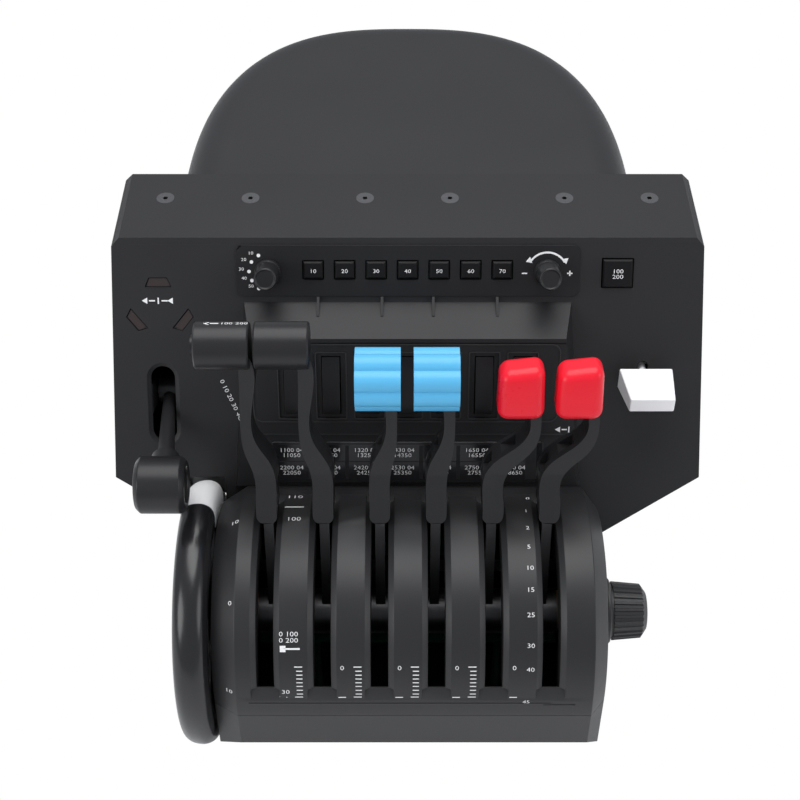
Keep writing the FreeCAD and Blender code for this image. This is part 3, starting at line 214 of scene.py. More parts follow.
sky_blue = moulded("sky_blue", (0.10, 0.43, 0.71), 0.34, grain=900, depth=0.000006,
                   drift=0.03, **DULL)
signal_red = moulded("signal_red", (0.76, 0.010, 0.026), 0.30, grain=500, depth=0.000004,
                     drift=0.03, **DULL)
paddle_white = moulded("paddle_white", (0.88, 0.88, 0.88), 0.35, grain=900, depth=0.000006,
                       drift=0.02)
lamp_glass = moulded("lamp_glass", (0.030, 0.020, 0.019), 0.22, grain=300, depth=0.000003)
board_green = moulded("board_green", (0.02, 0.10, 0.05), 0.35)
fibre_brown = moulded("fibre_brown", (0.25, 0.16, 0.08), 0.8)
pad_rubber = moulded("pad_rubber", (0.02, 0.02, 0.02), 0.85)
print_white = moulded("print_white", (0.80, 0.80, 0.80), 0.5, grain=3000, depth=0.000004,
                      drift=0.02)
print("materials so far:", len(bpy.data.materials))

# %% [markdown]
# Turned and stamped steel shows fine lines along its length, so its noise is stretched by
# a Mapping node before it bends the light.

# %% Steel and smoked acrylic


def brushed(name, colour, roughness):
    paint = Paint(name, colour, roughness, Metallic=1.0)
    along = paint.add("ShaderNodeMapping", {}, {"Vector": paint.place, "Scale": (60, 2400, 2400)})
    lines = paint.noise(1.0, 3, along[0])
    paint.feed("Roughness", lines * 0.2 + (roughness - 0.1))
    paint.bump(lines, 0.000006)
    return paint.material


def smoked(name):
    paint = Paint(name, (0.008, 0.008, 0.009), 0.16, Coat_Weight=0.3, Coat_Roughness=0.08)
    haze = paint.noise(40, 3)
    paint.feed("Roughness", haze * 0.10 + 0.14)
    paint.bump(paint.noise(180, 2), 0.000006)
    return paint.material


steel = brushed("steel", (0.42, 0.43, 0.44), 0.34)
dark_steel = brushed("dark_steel", (0.12, 0.12, 0.124), 0.42)
smoked_acrylic = smoked("smoked_acrylic")
print("materials in all, before the floor's:", len(bpy.data.materials))

# %% [markdown]
# ## Soft moulded edges
# No moulded part has a knife edge: each corner has a radius of a few tenths of a
# millimetre, and that is what catches the light.  A copy of each solid is cleaned, its flat
# faces are joined up again, and a Bevel modifier rounds what is left.  A Weighted Normal
# modifier then lets the large faces set the shading, so that they stay flat up to the edge.

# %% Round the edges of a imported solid


def fresh():
    """Clear the selection, so that an operator works on its own piece alone."""
    bpy.ops.object.select_all(action="DESELECT")


def only(piece):
    """Select one piece alone and make it the active one."""
    fresh()
    piece.select_set(True)
    bpy.context.view_layer.objects.active = piece


def apply_all(piece):
    only(piece)
    for modifier in list(piece.modifiers):
        bpy.ops.object.modifier_apply(modifier=modifier.name)


def finish_piece(piece, material, body, smooth_angle=35, flat_faces=True):
    """Give a piece its finish and its body, with its place in its mesh."""
    only(piece)
    bpy.ops.object.transform_apply(location=True, rotation=True, scale=True)
    bpy.ops.object.shade_smooth_by_angle(angle=math.radians(smooth_angle))
    if flat_faces:
        weigh = piece.modifiers.new("flat faces", "WEIGHTED_NORMAL")
        weigh.keep_sharp = True
        weigh.weight = 80
        apply_all(piece)
    piece.data.materials.clear()
    piece.data.materials.append(material)
    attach(piece, body)
    return piece


def merged_copy(node, flat=0.6):
    """Copy of a node's mesh with its points merged and its flat faces joined up."""
    piece = bpy.data.objects.new(node + "_moulded", frame["nodes"][node].data.copy())
    bpy.context.collection.objects.link(piece)
    only(piece)
    bpy.ops.object.mode_set(mode="EDIT")
    bpy.ops.mesh.select_all(action="SELECT")
    bpy.ops.mesh.remove_doubles(threshold=0.002 * MM)
    if flat:
        bpy.ops.mesh.dissolve_limited(angle_limit=math.radians(flat))
    bpy.ops.object.mode_set(mode="OBJECT")
    return piece


def bevelled(piece, radius, segments=2, corner=28):
    """Round a piece's sharp edges; radius in mm."""
    bevel = piece.modifiers.new("edges", "BEVEL")
    bevel.width = radius * MM
    bevel.segments = segments
    bevel.limit_method = "ANGLE"
    bevel.angle_limit = math.radians(corner)
    bevel.miter_outer = "MITER_ARC"
    bevel.use_clamp_overlap = True
    apply_all(piece)


def softened(node, material, radius, smooth_angle=35, flat=0.6):
    """Replace a node by a copy of itself with rounded edges."""
    piece = merged_copy(node, flat)
    bevelled(piece, radius)
    finish_piece(piece, material, body_of[node], smooth_angle)
    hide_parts(node)
    return piece


# %% [markdown]
# The radii differ with the part: the pan, the gear knob, the housing and the handles have
# the roundest edges, and the push buttons, rockers and tension knob the finest.  The console
# and the drum are copied with their triangles as packed.  On the console, joined faces left
# a dark patch beside one rocker.

# %% Soften the mouldings
MOULDINGS = {
    "panel_housing": (housing_black, 0.5), "panel_top_cover": (housing_black, 0.35),
    "base_pan": (base_black_and_line_highlight, 0.8), "autopilot_bezel": (bezel_black, 0.25),
    "tension_knob": (base_black_and_line_highlight, 0.2), "gear_knob": (handle_black, 0.6),
    "gear_lever": (handle_black, 0.3), "flap_lever": (paddle_white, 0.3),
    "selector_knob": (handle_black, 0.3), "adjust_knob": (handle_black, 0.3),
    "annunciator_lens": (smoked_acrylic, 0.3), "master_button": (key_black_and_rim_shade, 0.2),
}
soft = {node: softened(node, *look) for node, look in MOULDINGS.items()}
housing, bezel = soft["panel_housing"], soft["autopilot_bezel"]
for node in frame["nodes"]:
    if node.endswith("_handle"):
        softened(node, handle_black, 0.5)
    if node.startswith("rocker"):
        softened(node, rocker_black, 0.2)
    if node.startswith("mode_button"):
        softened(node, key_black_and_rim_shade, 0.2)
console = softened("switch_console", console_black, 0.4, flat=0)
drum = softened("quadrant_cover", drum_black, 0.35, flat=0)
print("softened", len(soft), "named mouldings, the handles, switches and keys")

# %% [markdown]
# ## Trim wheel
# The wheel is one section turned about the shaft: a fat rim, a thin web and a hub.  The
# section's corners are cut again and again until they're round, and Spin turns it.  The
# white band is the same rim again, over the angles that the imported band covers.

# %% Wheel section
wheel_low, wheel_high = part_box("trim_wheel")
WHEEL = (wheel_high.z - wheel_low.z) / 2 / MM
RIM = [(0.2, -16), (0, -9), (0.6, -4), (4, -1.0), (8, 0), (12, 0), (16, -2.2), (18, -7),
       (17.6, -15)]
WEB = [(13.0, -18), (11.5, -24), (11.5, 18 - WHEEL), (18, 14 - WHEEL), (18, 7.7 - WHEEL),
       (3, 7.7 - WHEEL), (3, 14 - WHEEL), (7.5, 18 - WHEEL), (7.5, -24), (5.0, -18)]


def rounded(points, times, closed):
    """Cut every corner at a quarter and three quarters of its sides."""
    for _ in range(times):
        pairs = list(zip(points, points[1:] + (points[:1] if closed else [])))
        cut = [tuple(a + (b - a) * t for a, b in zip(p, q))
               for p, q in pairs for t in (0.25, 0.75)]
        points = cut if closed else [points[0]] + cut[1:-1] + [points[-1]]
    return points


print("rim of", len(rounded(RIM, 3, False)), "points")

# %% Turn a section about the shaft


def turned(name, section, closed, start, sweep, steps):
    """Turn an (across, radius) section about the shaft; angles from the rear horizon."""
    mesh = bpy.data.meshes.new(name)
    count = len(section)
    points = [(u * MM, 0, r * MM) for u, r in section]
    links = [(k, (k + 1) % count) for k in range(count if closed else count - 1)]
    mesh.from_pydata(points, links, [])
    piece = bpy.data.objects.new(name, mesh)
    bpy.context.collection.objects.link(piece)
    piece.location = (0, shaft.y, shaft.z)
    piece.rotation_euler = (math.radians(start - 90), 0, 0)
    only(piece)
    bpy.ops.object.transform_apply(location=True, rotation=True, scale=True)
    bpy.ops.object.mode_set(mode="EDIT")
    bpy.ops.mesh.select_all(action="SELECT")
    bpy.ops.mesh.spin(steps=steps, angle=-math.radians(sweep), center=(0, shaft.y, shaft.z),
                      axis=(1, 0, 0))
    bpy.ops.mesh.select_all(action="SELECT")
    bpy.ops.mesh.remove_doubles(threshold=0.002 * MM)
    if closed:
        bpy.ops.mesh.fill_holes(sides=0)
    bpy.ops.mesh.select_all(action="SELECT")
    bpy.ops.mesh.normals_make_consistent(inside=False)
    bpy.ops.object.mode_set(mode="OBJECT")
    return piece


def on_wheel(points):
    """Section points from (in from the left, under the rim) to (x, radius)."""
    return [(wheel_low.x / MM + u, WHEEL + r) for u, r in points]


wheel = turned("trim_wheel_turned", on_wheel(rounded(RIM + WEB, 3, True)), True, 0, 360, 120)
print("wheel turned with", len(wheel.data.vertices), "points")

# %% Lightening holes
HOLES, HOLE_RADIUS, HOLE_CIRCLE = 6, 11 * MM, 34 * MM
for hole in range(HOLES):
    angle = math.radians(60 * hole + 30)
    fresh()
    place = (wheel_low.x, shaft.y + HOLE_CIRCLE * math.cos(angle),
             shaft.z + HOLE_CIRCLE * math.sin(angle))
    bpy.ops.mesh.primitive_cylinder_add(vertices=40, radius=HOLE_RADIUS, depth=60 * MM,
                                        rotation=(0, math.pi / 2, 0), location=place)
    drill = bpy.context.object
    cut = wheel.modifiers.new("hole", "BOOLEAN")
    cut.object = drill
    cut.solver = "EXACT"
    only(wheel)
    bpy.ops.object.modifier_apply(modifier="hole")
    bpy.data.objects.remove(drill)
finish_piece(wheel, wheel_black, "trim", 40, flat_faces=False)
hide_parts("trim_wheel")
print("wheel has", HOLES, "holes")

# %% White band
band_angles = [math.degrees(math.atan2(point.co.z - shaft.z, point.co.y - shaft.y))
               for point in frame["nodes"]["trim_wheel_mark"].data.vertices]
band = turned("trim_wheel_band", on_wheel(rounded(RIM, 3, False)), False,
              min(band_angles), max(band_angles) - min(band_angles), 14)
film = band.modifiers.new("film", "SOLIDIFY")
film.thickness = 0.3 * MM
film.offset = 0.4
apply_all(band)
finish_piece(band, paddle_white, "trim", 50, flat_faces=False)
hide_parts("trim_wheel_mark")
print("band from %.0f to %.0f degrees" % (min(band_angles), max(band_angles)))

# %% [markdown]
# The drum is one long curved face cut by six slots.  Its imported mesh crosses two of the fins
# between the slots with triangles so long that they sag by up to 2.6 mm.  The skins hide
# that fault and don't mend it: each fin gets one, turned on the same shaft, 0.03 mm above
# the true radius.

# %% Fin skins
FIN_HALF = 6.9
SKIN_TOP = drum_radius / MM + 0.03
SKIN_FOOT = SKIN_TOP - 3
SKIN_START, SKIN_SWEEP, SKIN_STEPS = 88, 78, 52
fins = [(a + b) / 2 / MM for a, b in zip(lever_x, lever_x[1:])]
skins = []
for x in fins:
    left, right = x - FIN_HALF, x + FIN_HALF
    section = [(left, SKIN_TOP), (right, SKIN_TOP), (right, SKIN_FOOT), (left, SKIN_FOOT)]
    skins.append(turned("fin_skin", section, True, SKIN_START, SKIN_SWEEP, SKIN_STEPS))
only(skins[0])
for other in skins[1:]:
    other.select_set(True)
bpy.ops.object.join()
skin = skins[0]
finish_piece(skin, drum_black, "base", 40)
print("fins at", [round(x, 1) for x in fins])

# %% [markdown]
# ## Mixture grips
# Each is a rounded block, a little higher on its right.  A cube is stretched to size, its
# edges are bevelled wide, and its upper points are raised by their place across.

# %% Red grips
GRIP = (23.0 * MM, 18.8 * MM, 27.6 * MM)
GRIP_EDGE = 5.2 * MM
GRIP_SLOPE, GRIP_TAPER, GRIP_LEAN = 0.12, 0.06, 1.8 * MM
middle = sum(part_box("mixture_1_grip"), Vector()) / 2
lever_tilt = math.atan2(middle.y - shaft.y, middle.z - shaft.z)
for node in ("mixture_1_grip", "mixture_2_grip"):
    low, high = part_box(node)
    fresh()
    bpy.ops.mesh.primitive_cube_add(size=1)
    grip = bpy.context.object
    grip.name = node + "_rounded"
    grip.scale = GRIP
    only(grip)
    bpy.ops.object.transform_apply(scale=True)
    edges = grip.modifiers.new("edges", "BEVEL")
    edges.width = GRIP_EDGE
    edges.segments = 8
    apply_all(grip)
    for point in grip.data.vertices:
        x, y, z = point.co
        rise = max(0, z / GRIP[2] + 0.5)
        point.co.z += GRIP_SLOPE * x * rise
        point.co.x *= 1 - GRIP_TAPER * rise * rise
        point.co.y += GRIP_LEAN * rise * rise if y < 0 else 0
    grip.rotation_euler = (-lever_tilt, 0, 0)
    grip.location = (low + high) / 2
    finish_piece(grip, signal_red, body_of[node], 60, flat_faces=False)
    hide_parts(node)
print("grips lean back %.0f degrees" % math.degrees(lever_tilt))

# %% [markdown]
# ## Pieces that stay as packed
# The rear shell, the lever blades, the blue grips, the gear lights, the go-around button,
# the socket, the screws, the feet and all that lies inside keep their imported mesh, and take
# their finish straight on it.

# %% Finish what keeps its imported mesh
packed_finish = {
    "rear_shell": cover_black, "go_around_button": handle_black,
    "pivot_shaft": steel, "lever_frame": dark_steel, "hub_spacers": dark_steel,
    "disc_springs": steel, "lever_brackets": dark_steel, "usb_socket": steel,
    "housing_screws": dark_steel, "friction_washers": fibre_brown, "rubber_feet": pad_rubber,
    "lever_sensors": board_green, "circuit_boards": board_green, "gear_light_lenses": lamp_glass,
}
for node, part in frame["nodes"].items():
    finish = packed_finish.get(node, housing_black)
    if node.endswith("_blade"):
        finish = dark_steel
    if node.startswith("propeller") and node.endswith("_grip"):
        finish = sky_blue
    if node.startswith("mixture") and node.endswith("_grip"):
        finish = signal_red
    part.data.materials.clear()
    part.data.materials.append(finish)
print("finished", len(frame["nodes"]), "nodes")

# %% [markdown]
# ## Printed marks
# The white marks are pad-printed ink: a film that follows whatever it lies on.  Each set is
# drawn flat first, from bars, discs, arrows, arcs and plain numbers.  Then every point is
# laid on the surface by one function of its place, and the film gets its thickness.
# Plain figures stand where the real part has words.

# %% Bars, discs and arcs
INK = 0.06 * MM        # film thickness, with its lift off the surface


def moved(piece, u, v, turn=0.0):
    """Put a flat mark at (u, v) millimetres, turned by degrees, and apply it."""
    piece.location = (u * MM, v * MM, 0)
    piece.rotation_euler = (0, 0, math.radians(turn))
    only(piece)
    bpy.ops.object.transform_apply(location=True, rotation=True, scale=True)
    return piece


def bar_mark(u, v, width, height, turn=0.0):
    fresh()
    bpy.ops.mesh.primitive_grid_add(x_subdivisions=1, y_subdivisions=4, size=MM)
    bpy.context.object.scale = (width, height, 1)
    return moved(bpy.context.object, u, v, turn)


def disc_mark(u, v, radius, corners=20, turn=0.0):
    fresh()
    bpy.ops.mesh.primitive_circle_add(vertices=corners, radius=radius * MM, fill_type="NGON")
    return moved(bpy.context.object, u, v, turn)


def arc_mark(u, v, radius, start, end, width):
    """Part of a ring: a long grid whose length becomes the angle."""
    fresh()
    bpy.ops.mesh.primitive_grid_add(x_subdivisions=28, y_subdivisions=1, size=1)
    ring = bpy.context.object
    for point in ring.data.vertices:
        turn = math.radians(start + (end - start) * (point.co.x + 0.5))
        reach = (radius + width * point.co.y) * MM
        point.co = (reach * math.cos(turn), reach * math.sin(turn), 0)
    return moved(ring, u, v)


print("ink is %.2f mm thick" % (INK / MM))

# %% Figures and rings
FIGURE = 1.36          # height of the text block to the height of a figure
WIDEN = 1.25           # figures are set a little wide
THIN = -0.005          # and a little light


def number_mark(u, v, size, words, turn=0.0):
    """Plain figures as a mesh, centred at (u, v)."""
    fresh()
    bpy.ops.object.text_add()
    text = bpy.context.object
    text.data.body = words
    text.data.offset = THIN
    text.data.space_line = 0.92
    text.data.resolution_u = 2
    text.data.align_x = "CENTER"
    text.data.align_y = "CENTER"
    bpy.ops.object.convert(target="MESH")
    bpy.context.object.scale = (size * FIGURE * WIDEN * MM, size * FIGURE * MM, 1)
    return moved(bpy.context.object, u, v, turn)


def ring_mark(u, v, outline, line, turn=0.0, corner=0.0):
    """Closed line of even width along an outline of (u, v) corners."""
    fresh()
    bpy.ops.mesh.primitive_circle_add(vertices=len(outline), fill_type="NGON")
    ring = bpy.context.object
    for point, place in zip(ring.data.vertices, outline):
        point.co = (place[0] * MM, place[1] * MM, 0)
    bpy.ops.object.mode_set(mode="EDIT")
    bpy.ops.mesh.select_all(action="SELECT")
    if corner:
        bpy.ops.mesh.bevel(offset=corner * MM, segments=5, affect="VERTICES")
        bpy.ops.mesh.select_all(action="SELECT")
    bpy.ops.mesh.inset(thickness=line * MM, depth=0)
    bpy.ops.mesh.delete(type="FACE")
    bpy.ops.object.mode_set(mode="OBJECT")
    return moved(ring, u, v, turn)


def box_outline(width, height):
    x, y = width / 2, height / 2
    return [(-x, -y), (x, -y), (x, y), (-x, y)]


MARKS = {"bar": bar_mark, "disc": disc_mark, "arc": arc_mark, "number": number_mark,
         "ring": ring_mark}
print("kinds of mark:", ", ".join(MARKS))

# %% Lay marks on a surface


def ink(name, marks, place, body, material=None, height=INK):
    """Join flat marks, lay them on a surface by place(u, v, lift) and give them thickness."""
    pieces = [MARKS[kind](*values) for kind, *values in marks]
    fresh()
    for piece in pieces:
        piece.select_set(True)
    bpy.context.view_layer.objects.active = pieces[0]
    if len(pieces) > 1:
        bpy.ops.object.join()
    film = pieces[0]
    film.name = name
    for point in film.data.vertices:
        point.co = place(point.co.x, point.co.y, INK / 2)
    thick = film.modifiers.new("film", "SOLIDIFY")
    thick.thickness = height - INK / 2
    thick.offset = 1
    apply_all(film)
    finish_piece(film, material or print_white, body, flat_faces=False)
    print(name, "has", len(marks), "marks")


# %% [markdown]
# A mark finds its surface by a ray: from a little way out, straight in towards the piece.
# So a label that runs over the foot of the console follows it, as ink from a soft pad does.
# v runs upwards on every surface, so that figures stand upright.

# %% Surfaces that carry marks
RAY_START = 30 * MM


def laid(pieces, start, aim, lift):
    """First point where a ray meets one of the pieces, lifted back along the ray."""
    found = [piece.ray_cast(start, aim)[:2] for piece in pieces]
    reach = min([(spot - start).length for met, spot in found if met] or [RAY_START])
    return start + aim * (reach - lift)


def panel_place(u, v, lift):
    return laid((console, housing), on_panel(u, -v, RAY_START), -panel_out, lift)


def strip_place(u, v, lift):
    return laid((bezel,), on_panel(u, -v, RAY_START), -panel_out, lift)


def drum_place(u, v, lift):
    """u across; v is the arc length up from the pilot's horizon, on the drum's radius."""
    start = on_drum(u, 180 - math.degrees(v / drum_radius), 20 * MM)
    hub = Vector((u, shaft.y, shaft.z))
    return laid((drum, skin), start, (hub - start).normalized(), lift)


# %% Switch face and keys
LEDGE_ROW, LEDGE_DEPTH, LEDGE_FALL = 34 * MM, 23.3 * MM, math.radians(15)
ledge_run = Vector((0, math.cos(LEDGE_FALL), math.sin(LEDGE_FALL))) * LEDGE_DEPTH
ledge_front = on_panel(0, LEDGE_ROW) - ledge_run
FOOT_ROW, FOOT_OUT = 106.9 * MM, 6 * MM
face_down = (on_panel(0, FOOT_ROW, FOOT_OUT) - ledge_front).normalized()
face_out = Vector((0, face_down.z, -face_down.y))


def face_place(u, v, lift):
    """v is down from the ledge's lip, so it is negative."""
    return ledge_front + Vector((u, 0, 0)) - face_down * v + face_out * lift


def key_place(node):
    """Marks on a push button's flat top, centred on it."""
    low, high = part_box(node)
    middle = (low + high) / 2
    top = max(point.co.dot(panel_out) for point in frame["nodes"][node].data.vertices)
    centre = middle + panel_out * (top - middle.dot(panel_out))
    return lambda u, v, lift: centre + Vector((u, 0, 0)) - panel_down * v + panel_out * lift


lens_spot = key_place("annunciator_lens")
print("face leans %.1f degrees" % math.degrees(math.atan2(-face_down.y, -face_down.z)))

# %% [markdown]
# The three gear lights lie round a symbol of two arrows.  Each has a near-black rim, painted
# shade where the wall of its recess would lie in shade, and, on its lower side, the edge of
# its recess.  One label is a row of figures, turned by 66 degrees.

# %% Panel
WEDGE = [(-6.9, -2.5), (6.9, -2.5), (4.8, 2.5), (-4.8, 2.5)]
LIGHTS = ((-130.5, -23.6, 0), (-143.0, -44.4, 129), (-117.5, -44.4, -129))
GEAR_ROW, FLAP_ROW = -33.4, -101.8
panel_marks = [("disc", -137.4, GEAR_ROW, 1.9, 3, 90), ("bar", -134.0, GEAR_ROW, 3.2, 0.7),
               ("bar", -130.7, GEAR_ROW, 0.7, 3.4), ("bar", -127.4, GEAR_ROW, 3.2, 0.7),
               ("disc", -124.0, GEAR_ROW, 1.9, 3, -30),
               ("disc", 80.2, FLAP_ROW, 1.9, 3, 90), ("bar", 83.4, FLAP_ROW, 2.8, 0.7),
               ("bar", 85.8, FLAP_ROW, 0.7, 3.4),
               ("number", -94.2, -87.2, 2.5, "0 10 20 30 40", -66)]
ink("panel_print", panel_marks, panel_place, "base")
# painted shade: a near-black ring round each light stands for its shaded recess wall
light_shade_rims = [("ring", u, v, WEDGE, 0.7, turn) for u, v, turn in LIGHTS]
ink("gear_light_shade_rims", light_shade_rims, panel_place, "base", key_black_and_rim_shade)
light_lips = [("bar", -130.5, -26.6, 12.4, 0.5), ("bar", -138.4, -48.0, 6.0, 0.4, 0),
              ("bar", -122.1, -48.0, 6.0, 0.4, 0)]
ink("gear_light_lips", light_lips, panel_place, "base", console_black)

# %% Strip, its keys and the master key
DIAL_X = abs(dial_place.x) / MM
DOTS = ((-77.5, -9.2), (-81.2, -12.6), (-82.6, -17.6), (-81.2, -22.4), (-77.7, -26.6))
strip_marks = [("disc", u, v, 0.95) for u, v in DOTS]
strip_marks += [("number", u - 4.0, v + 1.2, 1.7, str(10 * i + 10))
                for i, (u, v) in enumerate(DOTS)]
strip_marks += [("arc", DIAL_X, -18, 10.4, 30, 150, 1.0),
                ("disc", DIAL_X - 9.4, -11.8, 2.0, 3, -10),
                ("disc", DIAL_X + 9.4, -11.8, 2.0, 3, 70),
                ("bar", DIAL_X - 11.8, -18.6, 2.8, 0.7),
                ("bar", DIAL_X + 11.8, -18.6, 2.8, 0.7),
                ("bar", DIAL_X + 11.8, -18.6, 0.7, 2.8)]
ink("strip_print", strip_marks, strip_place, "base")
for key in range(1, 8):
    ink("key_print_%d" % key, [("number", 0, -0.4, 2.1, "%d0" % key)],
        key_place("mode_button_%d" % key), "mode_%d" % key)
ink("master_print", [("number", 0, -0.2, 2.3, "100\n200")], key_place("master_button"),
    "master")

# %% [markdown]
# Thin moulded lines frame the switches: one round all seven, one round each rocker and one
# along the foot.  They are drawn as marks are, but stand 0.45 mm high.  They take the pan's
# black, paler than the console's, as a painted highlight along their edges.

# %% Switch face
face_lines = [("ring", -0.9, -25.6, box_outline(161, 45.6), 0.6, 0, 5)]
face_lines += [("ring", 20 * (key - 4), -26.9, box_outline(16.4, 39.4), 0.6, 0, 1.2)
               for key in range(1, 8)]
face_lines += [("bar", 0, -55.6, 165, 0.5)]
# painted highlight: the lines' paler black stands for the light caught on their edges
ink("switch_face_lines", face_lines, face_place, "base", base_black_and_line_highlight, 0.45 * MM)

# %% [markdown]
# The first four fins have a scale of ticks near the foot.  The first also has cross lines
# and figures further up.  The fifth has figures from its foot to its top, and three more
# stand to the left of the first.

# %% Drum
FIN = (-57.9, -28.5, 0, 28.5, 57.0)
TICKS = [14.2, 16.2, 18.6, 21.0, 23.2, 25.4, 27.6, 29.8, 32.1]
drum_marks = []
for fin, x in enumerate(FIN):
    if fin < 4:
        for step, v in enumerate(TICKS):
            end = step in (0, 8)
            drum_marks.append(("bar", x + 3.9 - (0.5 if end else 0), v, 4.0 if end else 3.1, 0.5))
    drum_marks.append(("bar", x - 4.4, 14.0, 3.8, 0.5))
    if fin:
        drum_marks.append(("number", x - 4.2, 31.4, 2.5, "0"))
    else:
        drum_marks.append(("number", x - 3.2, 17.4, 2.5, "30"))
drum_marks += [("bar", FIN[0] - 0.6, 121.7, 9.8, 0.9), ("number", FIN[0] - 1.0, 132.4, 3.4, "110"),
               ("number", FIN[0] - 0.4, 111.8, 3.0, "100"),
               ("number", FIN[0] - 1.2, 47.4, 2.5, "0 100\n0 200"),
               ("bar", FIN[0] - 4.1, 41.6, 2.8, 3.2), ("bar", FIN[0] + 0.4, 41.6, 8.0, 0.9)]
for words, v in (("1", 118.2), ("2", 105.4), ("5", 93.6), ("10", 82.0), ("15", 70.8),
                 ("25", 58.4), ("30", 43.1), ("40", 30.5)):
    drum_marks.append(("number", 60.8, v, 2.4, words))
drum_marks += [("number", 62.6, 130.6, 2.6, "0"), ("number", 59.3, 10.7, 2.2, "45"),
               ("number", -88.4, 64.2, 2.4, "0"), ("number", -88.4, 110.5, 2.6, "10"),
               ("number", -89.8, 16.2, 2.4, "10")]
ink("drum_print", drum_marks, drum_place, "base")
# partly painted highlight: the raised foot line is real, and its paler black stands for the light on its ridge
foot_lines = [("bar", -4, 9.6, 152, 0.5), ("bar", 76, 8.4, 16, 0.5)]
ink("drum_foot_line", foot_lines, drum_place, "base", base_black_and_line_highlight, 0.3 * MM)

# %% [markdown]
# The annunciator is a dark window over two rows of seven cells, each with a short label in
# two lines.  Figures stand for those, and bars in a slightly paler black draw the cells'
# walls.

# %% Annunciator
PITCH = 19.8
LABEL_SHIFT = -2.6
cells = []
for column in range(7):
    for row, v in enumerate((5.4, -4.4)):
        first = 1100 * (row + 1) + 110 * column
        words = "%d 04\n%d0" % (first, first + 5)
        cells.append(("number", (column - 3) * PITCH + LABEL_SHIFT, v, 2.3, words))
ink("annunciator_print", cells, lens_spot, "base")
bars = [("bar", (column - 2.5) * PITCH + LABEL_SHIFT, 0, 2.0, 19.0) for column in range(6)]
bars += [("bar", 66.0, 0, 6.0, 19.0), ("bar", 0, 10.4, 138, 0.5), ("bar", 0, 0.5, 138, 0.5)]
ink("annunciator_bars", bars, lens_spot, "base", cell_black)

# %% [markdown]
# The throttle grip's top is round, so its label is placed by an angle about the grip's own
# middle, on the radius that its box gives.

# %% Hand grip
HEAD_REACH = 0.166
LEVER_REST = math.radians(79)
PRINT_TURN = math.radians(74)
head_low, head_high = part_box("throttle_1_handle")
head = Vector(((head_low.x + head_high.x) / 2, shaft.y + HEAD_REACH * math.cos(LEVER_REST),
               shaft.z + HEAD_REACH * math.sin(LEVER_REST)))
head_radius = head_high.z - head.z


def head_place(u, v, lift):
    turn = PRINT_TURN - v / head_radius
    reach = head_radius + lift
    return head + Vector((u, reach * math.cos(turn), reach * math.sin(turn)))


head_marks = [("disc", -11.6, 0, 1.8, 3, 90), ("bar", -8.2, 0, 4.0, 0.9),
              ("number", 1.2, 0, 2.4, "100 200")]
ink("head_print", head_marks, head_place, "throttle_1")
print("marks laid, head radius %.1f mm" % (head_radius / MM))

# %% [markdown]
# ## Studio
# The view is from above the pilot's shoulder.  A large soft lamp overhead lights the level
# faces most, as a ceiling does, and two weaker ones at the sides draw the edges.

# %% Camera
EYE_BACK = 501.8 * MM
EYE_UP = 638.4 * MM
EYE_ASIDE = -4.0 * MM
EYE_DOWN = 43.8
lens = bpy.data.cameras.new("eye")
lens.sensor_width = 36
lens.lens = 18 / math.tan(math.radians(15))
lens.clip_start = 0.01
camera = bpy.data.objects.new("eye", lens)
camera.location = (EYE_ASIDE, shaft.y - EYE_BACK, shaft.z + EYE_UP)
camera.rotation_euler = (math.radians(90 - EYE_DOWN), 0, 0)
bpy.context.collection.objects.link(camera)
bpy.context.scene.camera = camera
print("camera looks %.1f degrees down" % EYE_DOWN)

# %% Lamps


def lamp(name, place, aim, size, power):
    light = bpy.data.lights.new(name, "AREA")
    light.shape = "DISK"
    light.size = size
    light.energy = power
    source = bpy.data.objects.new(name, light)
    source.location = place
    source.rotation_euler = (Vector(aim) - Vector(place)).to_track_quat("-Z", "Y").to_euler()
    bpy.context.collection.objects.link(source)


lamp("ceiling", (0, 0.25, 1.7), (0, 0, 0.1), 1.6, 24)
lamp("left_fill", (-1.3, -0.9, 0.9), (0, 0, 0.1), 1.0, 9)
lamp("right_fill", (1.4, -0.7, 0.8), (0, 0, 0.1), 1.0, 5)
print("lamps:", len(bpy.data.lights))

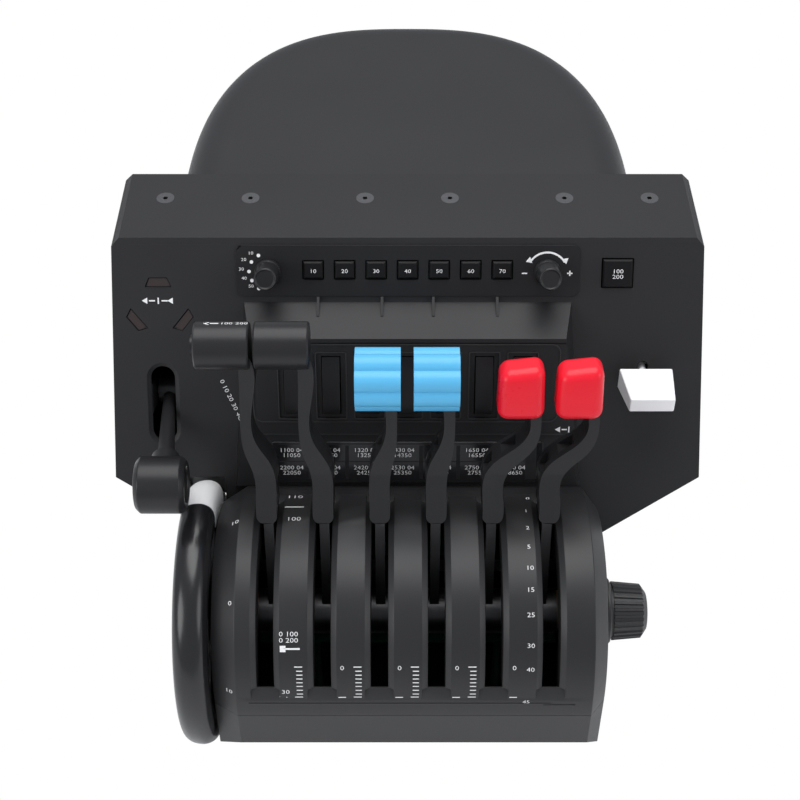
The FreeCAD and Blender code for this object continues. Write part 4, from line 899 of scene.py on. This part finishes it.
# %% [markdown]
# The floor and the world show plain white to the camera, and light the part at a plain
# level.  Only camera rays see that white.  Gloss and glass see the lit floor and the dimmer
# sky instead, and the floor doesn't show the part's shadow.  Both are faults of this studio.

# %% White floor


def shown_white(paint_tree, shader, sharp_rays):
    """Mix a shader with plain white light on the rays that see it directly."""
    nodes, links = paint_tree.nodes, paint_tree.links
    path = nodes.new("ShaderNodeLightPath")
    glow = nodes.new("ShaderNodeEmission")
    glow.inputs["Color"].default_value = (1, 1, 1, 1)
    mix = nodes.new("ShaderNodeMixShader")
    links.new(path.outputs[sharp_rays], mix.inputs[0])
    links.new(shader, mix.inputs[1])
    links.new(glow.outputs[0], mix.inputs[2])
    return mix.outputs[0]


fresh()
bpy.ops.mesh.primitive_plane_add(size=8, location=(0, 0, 0))
floor = bpy.context.object
floor.name = "floor"
floor_paint = bpy.data.materials.new("floor_white")
floor_paint.use_nodes = True
floor_tree = floor_paint.node_tree
floor_shader = floor_tree.nodes["Principled BSDF"]
floor_shader.inputs["Base Color"].default_value = (0.85, 0.85, 0.85, 1)
floor_shader.inputs["Roughness"].default_value = 0.9
lit = shown_white(floor_tree, floor_shader.outputs[0], "Is Camera Ray")
floor_tree.links.new(lit, floor_tree.nodes["Material Output"].inputs["Surface"])
floor.data.materials.append(floor_paint)
print("floor laid")

# %% White background
world = bpy.data.worlds.new("studio")
bpy.context.scene.world = world
world.use_nodes = True
sky = world.node_tree.nodes["Background"]
sky.inputs["Color"].default_value = (0.9, 0.93, 1.0, 1)
sky.inputs["Strength"].default_value = 0.55
nodes, links = world.node_tree.nodes, world.node_tree.links
backdrop = nodes.new("ShaderNodeBackground")
backdrop.inputs["Color"].default_value = (1, 1, 1, 1)
ray = nodes.new("ShaderNodeLightPath")
choose = nodes.new("ShaderNodeMixShader")
links.new(ray.outputs["Is Camera Ray"], choose.inputs[0])
links.new(sky.outputs[0], choose.inputs[1])
links.new(backdrop.outputs[0], choose.inputs[2])
links.new(choose.outputs[0], nodes["World Output"].inputs["Surface"])
bpy.context.scene.view_settings.view_transform = "Standard"
print("world strength", sky.inputs["Strength"].default_value)
